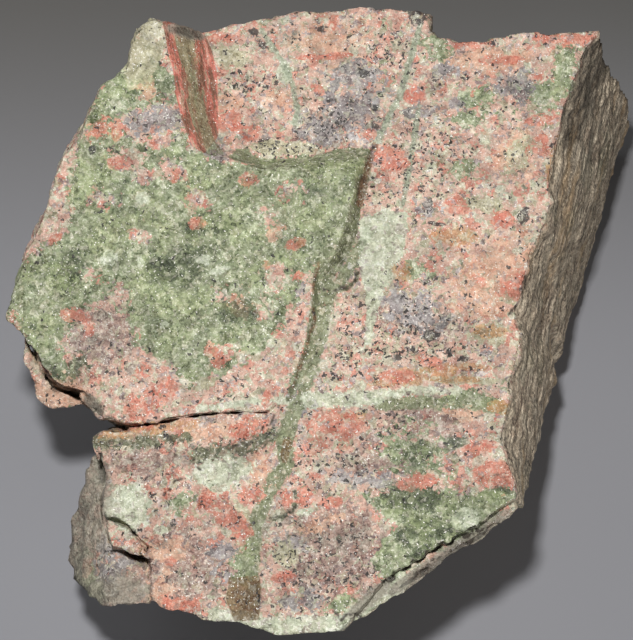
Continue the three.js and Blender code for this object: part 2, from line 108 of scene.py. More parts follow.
# Patches as ellipses: centre across and up, half length, half width and turn in degrees, and for
# one that lies on a layer below the broad face, how deep it reaches. All lengths are millimetres.
PATCHES: dict[Mineral, Rows] = {
    Mineral.CORAL: (
        (-16.4, -44.2, 3.2, 2, 10), (19, 40.5, 4.4, 3.2, 0), (-43.6, -22.5, 4.5, 3.6, 20),
        (-38.5, -18.2, 4.4, 2.6, 25), (-54.4, 48, 3.4, 2.8, 50), (-50, 47.5, 3, 1.3, 85),
        (-50.4, 39.2, 2, 1.8, 0), (-35.9, 35.2, 1.6, 1.4, 0), (-39.9, 44.5, 1.6, 1, 0),
        (-24, 70.4, 5, 1.2, 0), (-16.6, 47, 2.8, 2, 0), (-22, 50, 4, 2.6, 10),
        (4.4, 74.2, 1.6, 1.8, 0), (2, 66, 9, 0.7, 4), (-0.4, 58.2, 1.4, 1.4, 0),
        (12.6, 46.2, 1.6, 1.4, 0), (25, 56, 2.6, 1.6, -10), (37.4, 68.8, 4, 1.4, -2),
        (46, 65, 6, 1.2, 2), (62, 70.4, 8, 1.5, 0), (56.4, 50, 4.6, 1.5, 3), (55, 61, 1.4, 1.2, 0),
        (55.9, 43.8, 3.4, 2.8, 60), (34.6, 28.8, 3, 2.2, 30), (40.6, 10.2, 2, 1.3, -20),
        (49.5, 8.6, 4.6, 3.2, 40), (46.6, 25.5, 2.8, 2.2, 0), (20.1, -14.2, 4.4, 1.8, 4),
        (28.6, -10.2, 3.8, 1.6, -20), (4.6, -26.3, 7, 3.4, 5), (-0.9, -31.8, 3.4, 2.4, -10),
        (6.9, -32.2, 1.6, 1, 0), (25.4, -40.5, 5.2, 2, 6), (43.9, -38.4, 5.6, 3.6, -10),
        (41, -31.8, 4.5, 1.8, 10), (-0.4, -39, 1.8, 1.3, 0), (-2.9, -45, 2, 1.8, 60),
        (3.4, -45.5, 2.8, 1.8, 10), (-7.4, -45, 3, 1.2, 80), (-8.1, -64.2, 3.8, 1.4, 5),
        (-37.9, -43.5, 1.8, 0.8, 85), (-36.1, -60.5, 1.4, 1.2, 0), (-34, -71, 5.4, 2.2, -15),
        (-17.1, -27, 5.8, 2.4, 14), (-25.4, -9.2, 4, 1.8, -60), (-42.9, -12.5, 2, 1.9, 0),
        (-60.6, 1.2, 3.5, 2, -5), (-57.1, -2.8, 1.8, 1.2, 70), (-65.4, 20.5, 2.2, 1.1, 35),
        (-30.1, 24, 2.4, 1.6, 0), (-16.6, 35.5, 2.4, 1.5, 0), (-5.4, 19, 2.6, 1.5, 10),
        (-4.9, 11.2, 1.8, 1, -10), (-12.4, 13.2, 1.3, 1.2, 0), (-12.6, -19.5, 2.6, 1.1, 80),
    ),
    Mineral.SALMON: (
        (4, 70, 9, 4.4, 3), (-9.1, 56, 3.4, 2.4, 20), (-22, 54, 3.6, 1.6, -4),
        (43.4, 65.5, 10, 3, 2), (45, 10, 10, 9, 20), (52, 20, 3.4, 3, 40), (50, 42, 6, 5, 70),
        (-25, -27.5, 8, 2.8, 8), (-15.4, -37.5, 3.5, 3.4, 0), (-36.6, -58.2, 4.5, 3.6, 0),
        (-38, -70, 5, 4, 0), (1, -51.2, 6, 1.6, 22), (36, -23.2, 5.5, 1.8, -6),
        (-10.4, 22, 2.2, 1.9, 0), (-19.1, 3.8, 3.6, 2.4, 75), (-43, 58, 2.4, 2, 0),
        (-64, -19, 8, 4, -10, 25),
    ),
    Mineral.CREAM: (
        (-21, 66, 4.4, 3, 0), (-8, 43, 10, 1.8, -3), (42, 28.6, 4.4, 2.4, -10),
        (48, 5.5, 1.8, 1.8, 0), (0.4, -29.2, 1.7, 1.2, 0), (6.6, -30.8, 1.8, 1.2, 20),
        (43, -3.6, 5, 2.6, 0), (51, 41, 5, 3, 60), (-18.5, -48, 3.6, 1.6, -45),
        (-8, -59, 3.6, 3, 0), (37, -15, 10, 1, -2), (-28, -16, 4, 1.4, 20), (-44, 31, 2.4, 1.6, 0),
    ),
    Mineral.QUARTZ: (
        (10, 61, 6.4, 3, -5), (9, 52.5, 7.5, 6, 20), (1, 47.8, 6, 4, 0), (24, 2, 7, 4.4, -40),
        (12.9, -40, 4.4, 2.4, 0), (5, -39, 2, 1.2, 0), (-4, -20.4, 3.2, 2.4, 0),
        (-26, 42, 4, 2.8, -20), (-1.6, 33, 2.4, 2.2, 0), (6.4, 13.8, 2.6, 1.4, 80),
        (-4, 8, 1.8, 1.2, 60), (26, 52, 4, 1.8, 0), (36.6, 54.8, 3, 1.5, 0),
        (49.6, 57.5, 4.6, 3.6, -10), (-23.6, -58, 4.4, 2.2, -10), (-23.6, -63.8, 2.8, 1.6, -25),
        (-6.5, -56, 3.6, 2.6, 0), (-4, -70, 6, 2.2, 5), (43.4, -8, 2.8, 1.8, 0),
        (32, 63, 4, 2.2, 0), (28, 28, 3, 2.6, 0), (35, -30.5, 1.6, 1.4, 0),
        (-52.5, -63.5, 4.8, 4, 30, 30), (-40, 50.5, 8, 3.4, 5), (-47, 33, 5, 3.2, 10),
        (-38, 9, 5, 1.6, -8), (-66, 14, 3, 2, 60),
    ),
    Mineral.MINT: (
        (-8, 62, 3, 1.8, 75), (-5, 49.5, 2, 1.4, 90), (-23.6, -38, 8, 4, 10),
        (-47.4, -47, 6.4, 6, 60), (-3, -48, 2.8, 1, 15), (37.6, -50, 3.6, 3.2, 0),
        (-39, -52.5, 1.8, 1.2, 0), (-52, 15.5, 2.2, 1.8, 0), (-44, 14.5, 1.6, 1, 80),
        (-28.4, 15, 2, 1.2, 0), (-24.6, 12.4, 3.2, 0.8, 18), (-38, -0.8, 1.4, 1, 0),
        (-43.6, 30.5, 2, 1.6, 0),
    ),
    Mineral.EPIDOTE: (
        (24, -33, 6.5, 5, -20), (40.4, 56, 5, 3, 0), (61.6, 61.2, 8, 3, 78), (56, 56, 4, 3.6, 0),
        (36.6, 37.5, 3.2, 2.4, 40), (6.6, -71, 4.6, 2.6, 10), (-18, -60, 5.5, 3, 80),
        (31, 68, 4, 3, 0), (25.4, 13, 3.4, 2.2, -10), (38, 50.5, 3.8, 1.4, 0),
        (38, -20, 8, 1.8, -2), (-34, -45.5, 3, 2, 0),
    ),
    Mineral.OCHRE: (
        (34.6, 21, 6, 2.2, -5), (21.4, 12, 2, 2, 0), (19.6, -15.6, 7, 1.3, 3),
        (31, -12.5, 4, 1.3, -15), (24, -13.4, 3.4, 1.1, -8), (38, -11.4, 6, 0.9, -4),
        (34, -14.6, 8, 0.8, -2), (43, -3, 4.6, 1.6, 0), (46, -22, 3.6, 1.8, -10),
        (-53, -29, 2.4, 1, 10), (8.4, -24.4, 4, 1.2, 5),
    ),
    Mineral.DARK: (
        (25.4, 75.8, 2.2, 2.2, 0), (14, 48.5, 2.2, 1, -15), (-50.4, 43, 1.9, 1.2, 0),
        (-56, 43, 0.9, 0.6, 20), (1, 73, 1.5, 1, 0), (-16, 72, 1.4, 0.8, -30),
        (-13.6, 69, 1.5, 0.8, -60), (51.6, 26, 2.6, 1, 75), (30, 24, 3.4, 0.5, -5),
        (30, 10.4, 1.8, 0.5, -5), (28.6, -3.8, 2, 1.4, -10), (33.5, -8, 1.6, 1.1, 10),
        (36.6, -9.4, 1.5, 0.8, 0), (24.5, -7.6, 1.2, 0.9, -20), (20, -9, 1, 0.8, 0),
        (11.5, 62, 1.8, 1, -10), (3.5, 55, 1.2, 0.8, 0), (14.6, 53, 1.3, 0.8, 20),
    ),
    Mineral.PEPPER: (
        (27, -2.5, 11, 6, -20), (22, -6, 19, 4.5, -5), (16.6, 32.5, 5, 5, 0), (1, 48, 6.5, 5, 0),
        (-6.6, 43, 11, 3, 0), (-18.4, 59.5, 7, 5, 0), (17, 66, 6, 6, 0), (8.4, -4, 11, 4, 80),
        (3, -38, 9, 6, 0), (3.5, -60, 14, 9, 0), (28, 39, 10, 8, 80), (20, -26, 7, 3, 0),
    ),
    Mineral.MAUVE: (
        (4, -58, 15, 11, 0), (-33, -62, 12, 9, 0), (-44, -35, 9, 4.5, 0), (-27, -33.5, 5, 3, 0),
        (29, -25, 9, 5, 0), (14, -36, 10, 4, 0), (-48, -66, 9, 6, 0, 30),
        (-64, -20, 7, 4, -10, 25), (32, 62, 6, 3, 0), (2, 48, 9, 6, 20), (-30, 42, 4, 2, 0),
        (26, 0, 12, 5, -10), (-54, -4, 9, 8, 0),
    ),
    Mineral.MOSS: (
        (24, -44.5, 8, 4, 5), (34, -52, 6, 2.4, 25), (29, -52, 9, 4.4, 20),
        (34.6, -50.5, 4, 2, 10), (44, -43.5, 4.6, 1.8, 20), (28, -56, 7, 2, 30),
        (26, -33, 4, 2.6, 0), (35, -30.5, 2.4, 1.4, 0), (-34, 14, 9, 4, 20), (-20, 2, 6, 3, -10),
        (-26, 24, 7, 3, 10), (-62, 12, 6, 3.4, 70), (-60, -12, 4, 2.4, 60),
    ),
    # Painted shade: darkened patches in the notch, the hollow by the corner block, at the top of the
    # red wall and in other hollows and creases, and a darker stretch on the weathered side below the
    # face's right edge.
    Mineral.PAINTED_SHADE: (
        (66.5, 57, 15, 3.4, 72, 40), (-53.2, -38.2, 3, 1.2, 80, 30),
        (-51, -26.7, 4.6, 1.2, -8, 30), (-32.4, 71.8, 4, 1.2, -15, 12),
        (-66.8, -12, 4, 1, -50, 30), (32, -59.6, 14, 0.8, 33, 8),
    ),
    Mineral.UMBER: ((-7.6, -32.5, 3.4, 1.3, 80),),
    Mineral.GREY: (
        (-57, -47, 13, 5.5, 82, 30), (-61, -57, 6, 5, 60, 30), (-32.5, 72, 5, 1.6, -15, 12),
        (-55.5, -21, 3.4, 1.6, -45, 14), (31, -60, 16, 2, 33, 8), (44, -51, 6, 1.6, 40, 8),
        (13, -70, 7, 2, 40, 8), (-50, -68, 8, 4.4, 0, 30),
    ),
}

# Patches with a shape of their own, as outlines in millimetres across and up.
OUTLINES: dict[Mineral, tuple[Rows, ...]] = {
    Mineral.CORAL: (
        (
            (-30, -44), (-27, -42.6), (-22, -46), (-16, -50.8), (-15.6, -54), (-18.5, -54.8),
            (-24.5, -51), (-29.4, -46.4),
        ),
    ),
    Mineral.EPIDOTE: (
        (
            (-41.5, 68), (-36.5, 62), (-32.5, 42.5), (-22, 40), (7, 41), (13, 40), (9, 26),
            (3.5, 14.5), (-1, 12.5), (-5, 7.5), (-8, -1), (-13.5, -7.5), (-23, -13), (-31.5, -16),
            (-38, -10), (-46.5, -6), (-48, 2.5), (-55.5, 5), (-64, -6), (-60.5, -16), (-64, -17),
            (-74, -4.5), (-79, 2.5), (-75, 14), (-66.5, 20), (-63.5, 26), (-60, 42.5), (-54, 60),
        ),
        (
            (12, -44), (21, -42.5), (33.5, -43), (52, -42), (42, -54), (29, -59), (18, -66),
            (14, -60), (19, -51),
        ),
    ),
    Mineral.CREAM: (
        (
            (-43, 78), (-38.5, 74.5), (-37, 69), (-39, 64.5), (-42, 59), (-46.5, 58), (-49, 65),
            (-46, 74),
        ),
    ),
    Mineral.MINT: (
        (
            (10.5, 25.5), (17, 27.5), (23, 27), (22, 17.5), (19.5, 12), (17, 7), (15, 1),
            (13.8, -6), (12, -6.5), (12.4, 2), (12, 8), (10.5, 14.5),
        ),
    ),
    # The plate's right cliff: olive, darkened with painted shade where the wall turns from the light.
    Mineral.SHADED_CLIFF: (
        (
            (14.4, 43.4), (12.4, 40), (9.6, 32), (6.6, 22), (4.4, 16.5), (3.4, 14), (6, 12.6),
            (8.4, 17.6), (10.4, 22), (11.2, 29), (12.6, 36), (14, 40.5),
        ),
    ),
    Mineral.UMBER: (
        ((-21.8, -64.2), (-14.2, -64), (-13.8, -68), (-14.4, -75), (-20.8, -75.4), (-22.4, -70)),
    ),
    Mineral.SAGE: (
        (
            (-22, 40.5), (-20, 43), (-17, 43), (-15, 40.8), (-9, 40.2), (-1, 40.8), (5, 43),
            (14, 43), (13.5, 37), (11.5, 29), (9.5, 19), (6, 13), (3, 8), (1.5, 0), (0, -10),
            (-6, -19), (-7.5, -18), (-3, -7), (-1.5, 2), (0, 14), (5, 17), (8.5, 29), (10, 38),
            (4, 38.6), (-4, 37.8), (-14, 38.6),
        ),
        (
            (8.9, 37.5), (7.1, 30), (3.4, 23.8), (0.4, 14.5), (2.4, 7), (5.4, 14), (8.9, 23.8),
            (10.9, 32.5),
        ),
    ),
    Mineral.RED_WALL: (
        (
            (-38.5, 74.8), (-37, 66.2), (-35.8, 61.8), (-35, 55.5), (-33.8, 50.5), (-31.2, 43.5),
            (-28, 41.5), (-24.4, 46), (-24.6, 52), (-24.8, 61.2), (-26, 67), (-28.2, 72.6),
        ),
    ),
}

# Patches of the slab that are pink like the rest of the face, and cut into its green.
PINK_IN_GREEN: Rows = (
    (-54, -3, 8, 7, -20), (-50, 5.5, 3.2, 2.6, 0), (-41, 49, 9, 5.4, 5), (-47, 40, 5, 2.4, 0),
    (-53, 30, 3, 2, 0), (-36, 38, 3, 2, 0), (-30, 30.5, 2.2, 1.6, 0), (-12, 26, 2.4, 1.6, 0),
    (-44, 22, 2.8, 1.6, 0), (-58, 12, 2.4, 1.6, 0), (-24, 6, 2.2, 1.5, 0), (-14, 2, 2, 1.4, 0),
    (-65, 25, 4.4, 3, 60), (-43, 37, 3.4, 1.8, 0), (-6.9, 32.8, 3.2, 2.4, 20),
    (-10, 10.5, 3.8, 3.2, 50), (-3.4, 4, 9, 2.2, 72), (-22, -8, 3, 2, 0), (-78, 0, 3, 2, 0),
)

# Veins: a half width, then points across and up along each. They go on down the sides.
VEINS: dict[Mineral, tuple[tuple[float, Rows], ...]] = {
    Mineral.MINT: (
        (2, ((-2, -20), (7, -20), (15.5, -19.3))),
        (1, ((15.5, -18.4), (26, -17.4), (36, -17.6))),
        (0.8, ((-29, -22.2), (-18, -20.6), (-7, -20))),
        (2.4, ((-25, -74), (-9, -77), (7, -75.5), (17, -69.5), (21, -65))),
    ),
    Mineral.SAGE: (
        (2, ((-5, -21), (-8, -30), (-7.5, -36), (-12.5, -43.5), (-15.5, -52), (-16.5, -64))),
        (1.6, ((15.5, -21), (26, -20.4), (40, -21), (47, -22.5))),
        (1.4, ((12.5, 22), (8.5, 14), (3.5, 6), (1.5, -3), (-1, -12), (-4, -20))),
    ),
    Mineral.MOSS: (
        (1.8, ((-30, -33.6), (-22, -32.4), (-16, -31.4), (-12.5, -28.5), (-9.5, -29))),
        (1.4, ((-56, -30.6), (-44, -30.2), (-33, -29.4))),
        (0.35, ((-5.5, -43), (-5, -45), (-6, -47.5), (-8.5, -49), (-11.5, -49.5))),
    ),
    # The cliff's lower part and the little ledge below it: olive, darkened with painted shade.
    Mineral.SHADED_CLIFF: (
        (0.6, ((1.4, 14.6), (0, 12), (-0.6, 5), (-2, -6), (-5, -15), (-7, -19.6))),
        (0.5, ((2.1, 6.2), (6.9, 7.8), (9.9, 9.8), (10.1, 12.3))),
    ),
    Mineral.VEIN: (
        (0.8, ((26, 74), (24.6, 69), (23, 64), (21.4, 58), (20.2, 54.5), (18.4, 52), (15.4, 44.8))),
        (0.75, ((25.6, 53.5), (24.4, 45), (22.8, 36), (22.4, 33), (21.4, 29))),
        (0.7, ((-13.6, 72.5), (-11.6, 69), (-8.4, 64.5), (-6.1, 59), (-4.6, 52.5), (-5.4, 49))),
    ),
    # Dark brown lines: painted shade along the top and the foot of the plate's right cliff, and a
    # short brown mark near the top edge.
    Mineral.BROWN_SHADE: (
        (0.9, ((14.6, 43.4), (12.9, 38), (11.7, 33), (10.8, 29))),
        (0.3, ((0.4, 14.4), (-1.4, 5.2), (-0.6, 0), (-2.9, -8), (-5.9, -16.8))),
        (0.4, ((11, 75), (12, 72))),
    ),
    Mineral.WALL_OLIVE: (
        (2.3, ((-33, 70.5), (-31.2, 62), (-29.6, 54), (-28, 47), (-26.5, 43))),
    ),
    Mineral.OCHRE: (
        (0.9, ((-51.5, -28.6), (-41.5, -27), (-31.5, -25.6))),
        (1, ((62.5, 47.5), (60, 42.5), (58.5, 34.5))),
    ),
}

# Closed cracks in the surface: half width, depth, then points across and up.
CRACKS: tuple[tuple[float, float, Rows], ...] = (
    (0.22, 0.8, ((41.5, -51.8), (36.6, -54), (29, -57.6), (20, -63.3), (17, -66))),
    (0.25, 0.5, ((45, -50.6), (38, -55.4), (31, -58.8), (24, -64.4))),
    (0.2, 0.4, ((52.5, 12), (52, 9), (50, 4), (48.4, 1.4))),
    (0.16, 0.3, ((40, -36), (42, -34.8), (44.6, -34.6), (48, -36))),
    (0.16, 0.3, ((40, -40), (43, -38.8), (45.4, -38.6), (47.5, -39.4))),
    (0.3, 0.4, ((-5.5, -43), (-5, -45), (-6, -47.5), (-8.5, -49), (-11.5, -49.5))),
    (0.3, 0.4, ((-10.5, -24), (-13, -27), (-16, -30.5), (-22, -32))),
    (0.3, 0.4, ((2.2, 7.4), (6.8, 8), (9.8, 9.8), (10.2, 12.2))),
    (0.12, 0.2, ((26.9, 74), (23.9, 64), (21.2, 55), (16.3, 45))),
    (0.12, 0.2, ((24.8, 53.5), (23.6, 45), (22, 36), (21.6, 32))),
    (0.25, 0.4, ((-38, -44), (-36, -41), (-34, -39.6))),
    (0.25, 0.4, ((-31, -36.5), (-28, -37.4))),
    (0.3, 0.4, ((4, -72), (6, -75), (9, -73), (12, -75))),
)


def sockets_of(node: bpy.types.Node, wanted: str | int) -> Socket:
    """Finds a node's input socket.

    Args:
        node: The node.
        wanted: The socket's place or name. A name finds the first socket of that name in use.

    Returns:
        The socket.
    """
    if isinstance(wanted, int):
        return node.inputs[wanted]
    return next(s for s in node.inputs if s.name == wanted and s.enabled)


@dataclass
class Desk:
    """Places nodes in one tree and joins them.

    Args:
        tree: The shader or geometry node tree.
    """

    tree: bpy.types.NodeTree

    def add(self, kind: str, inputs: dict | None = None, **settings) -> bpy.types.Node:
        """Adds a node.

        Args:
            kind: Its type.
            inputs: For each input's place or name, a socket to join or a plain value.
            settings: The node's own options.

        Returns:
            The new node.
        """
        node = self.tree.nodes.new(kind)
        for name, value in settings.items():
            setattr(node, name, value)
        for wanted, value in (inputs or {}).items():
            target = sockets_of(node, wanted)
            if isinstance(value, Socket):
                self.tree.links.new(value, target)
            else:
                target.default_value = value
        return node

    def number(self, operation: str, *values: Value) -> Socket:
        """One step of arithmetic on numbers or sockets, and its result."""
        inputs = dict(enumerate(values))
        return self.add("ShaderNodeMath", inputs, operation=operation).outputs[0]

    def vector(self, operation: str, *values: Vectors) -> Socket:
        """One step of arithmetic on vectors, and its vector result."""
        inputs = dict(enumerate(values))
        return self.add("ShaderNodeVectorMath", inputs, operation=operation).outputs[0]

    def scaled(self, vector: Socket, by: Value) -> Socket:
        """A vector times a number."""
        inputs = {0: vector, "Scale": by}
        return self.add("ShaderNodeVectorMath", inputs, operation="SCALE").outputs[0]

    def dot(self, one: Vectors, other: Vectors) -> Socket:
        """The dot product of two vectors."""
        node = self.add("ShaderNodeVectorMath", {0: one, 1: other}, operation="DOT_PRODUCT")
        return node.outputs["Value"]

    def ramp(
        self, value: Value, low: float, high: float, to_low: float = 0.0, to_high: Value = 1.0
    ) -> Socket:
        """A smooth step of a value between two limits, brought to a range of results.

        Args:
            value: What is stepped.
            low: The first limit.
            high: The second limit.
            to_low: The result at the first limit.
            to_high: The result at the second limit.

        Returns:
            The result.
        """
        inputs = {
            "Value": value,
            "From Min": low,
            "From Max": high,
            "To Min": to_low,
            "To Max": to_high,
        }
        kind = "ShaderNodeMapRange"
        return self.add(kind, inputs, interpolation_type="SMOOTHSTEP").outputs[0]

    def blend(self, share: Value, first: Vectors, second: Vectors) -> Socket:
        """Two colours mixed by a share.

        Args:
            share: How much of the second shows.
            first: The first colour.
            second: The second colour.

        Returns:
            The mixed colour.
        """
        inputs = {"Factor": share, "A": first, "B": second}
        node = self.add("ShaderNodeMix", inputs, data_type="RGBA", clamp_factor=True)
        return next(s for s in node.outputs if s.enabled)

    def product(self, *values: Value) -> Socket:
        """Two or more numbers multiplied.

        Args:
            values: The numbers or sockets.

        Returns:
            Their product.
        """
        result = values[0]
        for value in values[1:]:
            result = self.number("MULTIPLY", result, value)
        return result

    def rest(self, share: Value) -> Socket:
        """What a share leaves of one."""
        return self.number("SUBTRACT", 1.0, share)

    def weighed(self, total: Value, *parts: tuple[Socket, Value]) -> Socket:
        """A start value plus each part's value times its weight.

        Args:
            total: The start value.
            parts: Each value and its weight.

        Returns:
            The sum.
        """
        for value, weight in parts:
            total = self.number("MULTIPLY_ADD", value, weight, total)
        return total

    def fixed(self, way: Way) -> Socket:
        """A vector that stays the same, as a socket."""
        return self.add("ShaderNodeCombineXYZ", dict(zip("XYZ", way))).outputs[0]

    def along(self, place: Socket, way: Way, share: float) -> Socket:
        """The place with its part along a direction shortened, so that patterns run along it."""
        part = self.number("MULTIPLY", self.dot(place, tuple(way)), share - 1)
        return self.vector("ADD", place, self.scaled(self.fixed(way), part))

    def centred(self, cells: bpy.types.Node, reach: float) -> Socket:
        """A pattern's colour as a vector about zero, times a reach."""
        vector = self.vector("SUBTRACT", cells.outputs["Color"], (0.5, 0.5, 0.5))
        return self.scaled(vector, reach)

    def group(self, tree: bpy.types.NodeTree, inputs: dict) -> Socket:
        """A shader group's first result for its named inputs.

        Args:
            tree: The group.
            inputs: For each input's name, a socket to join or a plain value.

        Returns:
            The first result.
        """
        node = self.add("ShaderNodeGroup", node_tree=tree)
        for name, value in inputs.items():
            if isinstance(value, Socket):
                self.tree.links.new(value, node.inputs[name])
            else:
                node.inputs[name].default_value = value
        return node.outputs[0]

    def noise(self, place: Socket, spacing: float, detail: float = 2.0) -> Socket:
        """Smooth noise from 0 to 1, about "spacing" millimetres from bump to bump."""
        inputs = {"Vector": place, "Scale": 1 / spacing, "Detail": detail}
        return self.add("ShaderNodeTexNoise", inputs, noise_dimensions="3D").outputs[0]

    def cells(self, place: Socket, spacing: float) -> bpy.types.Node:
        """A pattern of cells about "spacing" millimetres across."""
        inputs = {"Vector": place, "Scale": 1 / spacing}
        return self.add("ShaderNodeTexVoronoi", inputs, feature="F1")


def colour(red: float, green: float, blue: float) -> tuple[float, float, float, float]:
    """A colour from 0 to 255 a channel, as seen, brought to the light values that shaders use.

    Args:
        red: The red channel.
        green: The green channel.
        blue: The blue channel.

    Returns:
        The three light values and a whole opacity.
    """
    def light(value: float) -> float:
        """One channel."""
        share = value / 255
        return share / 12.92 if share <= 0.04045 else ((share + 0.055) / 1.055) ** 2.4

    return (light(red), light(green), light(blue), 1.0)


@dataclass(frozen=True)
class SightFrame:
    """The frame of the sight lines through the broad face, in millimetres.

    "Across" is to the right, "up" is up the view and "near" is towards the camera. The numbers
    are the stone's own driving sizes.
    """

    elevation: float = math.radians(64)
    distance: float = 480.0
    centre: tuple[float, float, float] = (-7.66, -10.114, 72.0)
    recedes_per_up: float = 0.25
    nears_per_across: float = 0.087
    picture_height: float = 160.0

    @property
    def axes(self) -> np.ndarray:
        """The across, up and near directions as rows."""
        sine = math.sin(self.elevation)
        cosine = math.cos(self.elevation)
        return np.array([[1, 0, 0], [0, sine, cosine], [0, -cosine, sine]])

    def level(self, across: float | np.ndarray, up: float | np.ndarray) -> float | np.ndarray:
        """How near the broad face is at a place on it."""
        return self.nears_per_across * across - self.recedes_per_up * up

    def place(self, across: float, up: float, near: float) -> np.ndarray:
        """The point in the stone's frame, in millimetres, at a place in this one."""
        shrink = (self.distance - near) / self.distance
        steps = np.array([across * shrink, up * shrink, near])
        return np.array(self.centre) + steps @ self.axes

    def seen(self, points: np.ndarray) -> tuple[np.ndarray, np.ndarray, np.ndarray]:
        """Where points are seen.

        Args:
            points: Rows of x, y and z in millimetres.

        Returns:
            Their across, up and near values.
        """
        across, up, near = ((points - np.array(self.centre)) @ self.axes.T).T
        shrink = (self.distance - near) / self.distance
        return across / shrink, up / shrink, near

    def edge_direction(self, start: tuple, end: tuple) -> np.ndarray:
        """The direction in the stone's frame of a line on the broad face."""
        ends = [self.place(a, u, self.level(a, u)) for a, u in (start, end)]
        line = ends[1] - ends[0]
        return line / np.linalg.norm(line)

    @property
    def bark_way(self) -> np.ndarray:
        """The direction that the weathered side's ridges run in, along the face's right edge."""
        return self.edge_direction((70, 71.8), (49.4, -44.8))

    @property
    def scratch_way(self) -> np.ndarray:
        """The direction that the red wall's streaks run in, down the wall."""
        return self.edge_direction((-36.9, 66.2), (-31, 43.5))


def smooth(values: np.ndarray, low: float, high: float) -> np.ndarray:
    """A smooth step from 0 to 1 between two limits."""
    share = np.clip((values - low) / (high - low), 0, 1)
    return share * share * (3 - 2 * share)


def in_ellipse(across: np.ndarray, up: np.ndarray, row: tuple[float, ...]) -> np.ndarray:
    """How far each place is inside an ellipse, in millimetres, and negative outside.

    Args:
        across: The places across the face, in millimetres.
        up: The places up the face.
        row: The middle across and up, half length, half width and turn in degrees.

    Returns:
        The distance at each place.
    """
    middle_across, middle_up, half_long, half_wide, turn = row[:5]
    cosine, sine = math.cos(math.radians(turn)), math.sin(math.radians(turn))
    along = (across - middle_across) * cosine + (up - middle_up) * sine
    beside = (up - middle_up) * cosine - (across - middle_across) * sine
    share = np.hypot(along / half_long, beside / half_wide)
    radius = np.hypot(along, beside) / np.maximum(share, TINY)
    return np.where(share > TINY, (1 - share) * radius, half_wide)


def from_line(across: np.ndarray, up: np.ndarray, line: Rows, closed: bool) -> np.ndarray:
    """The distance of each place to a line of points.

    Args:
        across: The places across the face, in millimetres.
        up: The places up the face.
        line: The points of the line, across and up.
        closed: Whether the last point is joined to the first.

    Returns:
        The distance at each place.
    """
    nearest = np.full(len(across), np.inf)
    ends = line[1:] + line[:1] if closed else line[1:]
    for (x, y), (end_x, end_y) in zip(line, ends):
        step_x, step_y = end_x - x, end_y - y
        share = ((across - x) * step_x + (up - y) * step_y) / (step_x**2 + step_y**2)
        share = np.clip(share, 0, 1)
        away = np.hypot(across - x - share * step_x, up - y - share * step_y)
        nearest = np.minimum(nearest, away)
    return nearest


def in_outline(across: np.ndarray, up: np.ndarray, outline: Rows) -> np.ndarray:
    """How far each place is inside an outline, and negative outside.

    Args:
        across: The places across the face, in millimetres.
        up: The places up the face.
        outline: Its corners, across and up.

    Returns:
        The distance at each place.
    """
    inside = np.zeros(len(across), bool)
    for (x, y), (end_x, end_y) in zip(outline, outline[1:] + outline[:1]):
        spans = (y > up) != (end_y > up)
        crossing = x + (up - y) * (end_x - x) / ((end_y - y) or TINY)
        inside ^= spans & (across < crossing)
    away = from_line(across, up, outline, closed=True)
    return np.where(inside, away, -away)


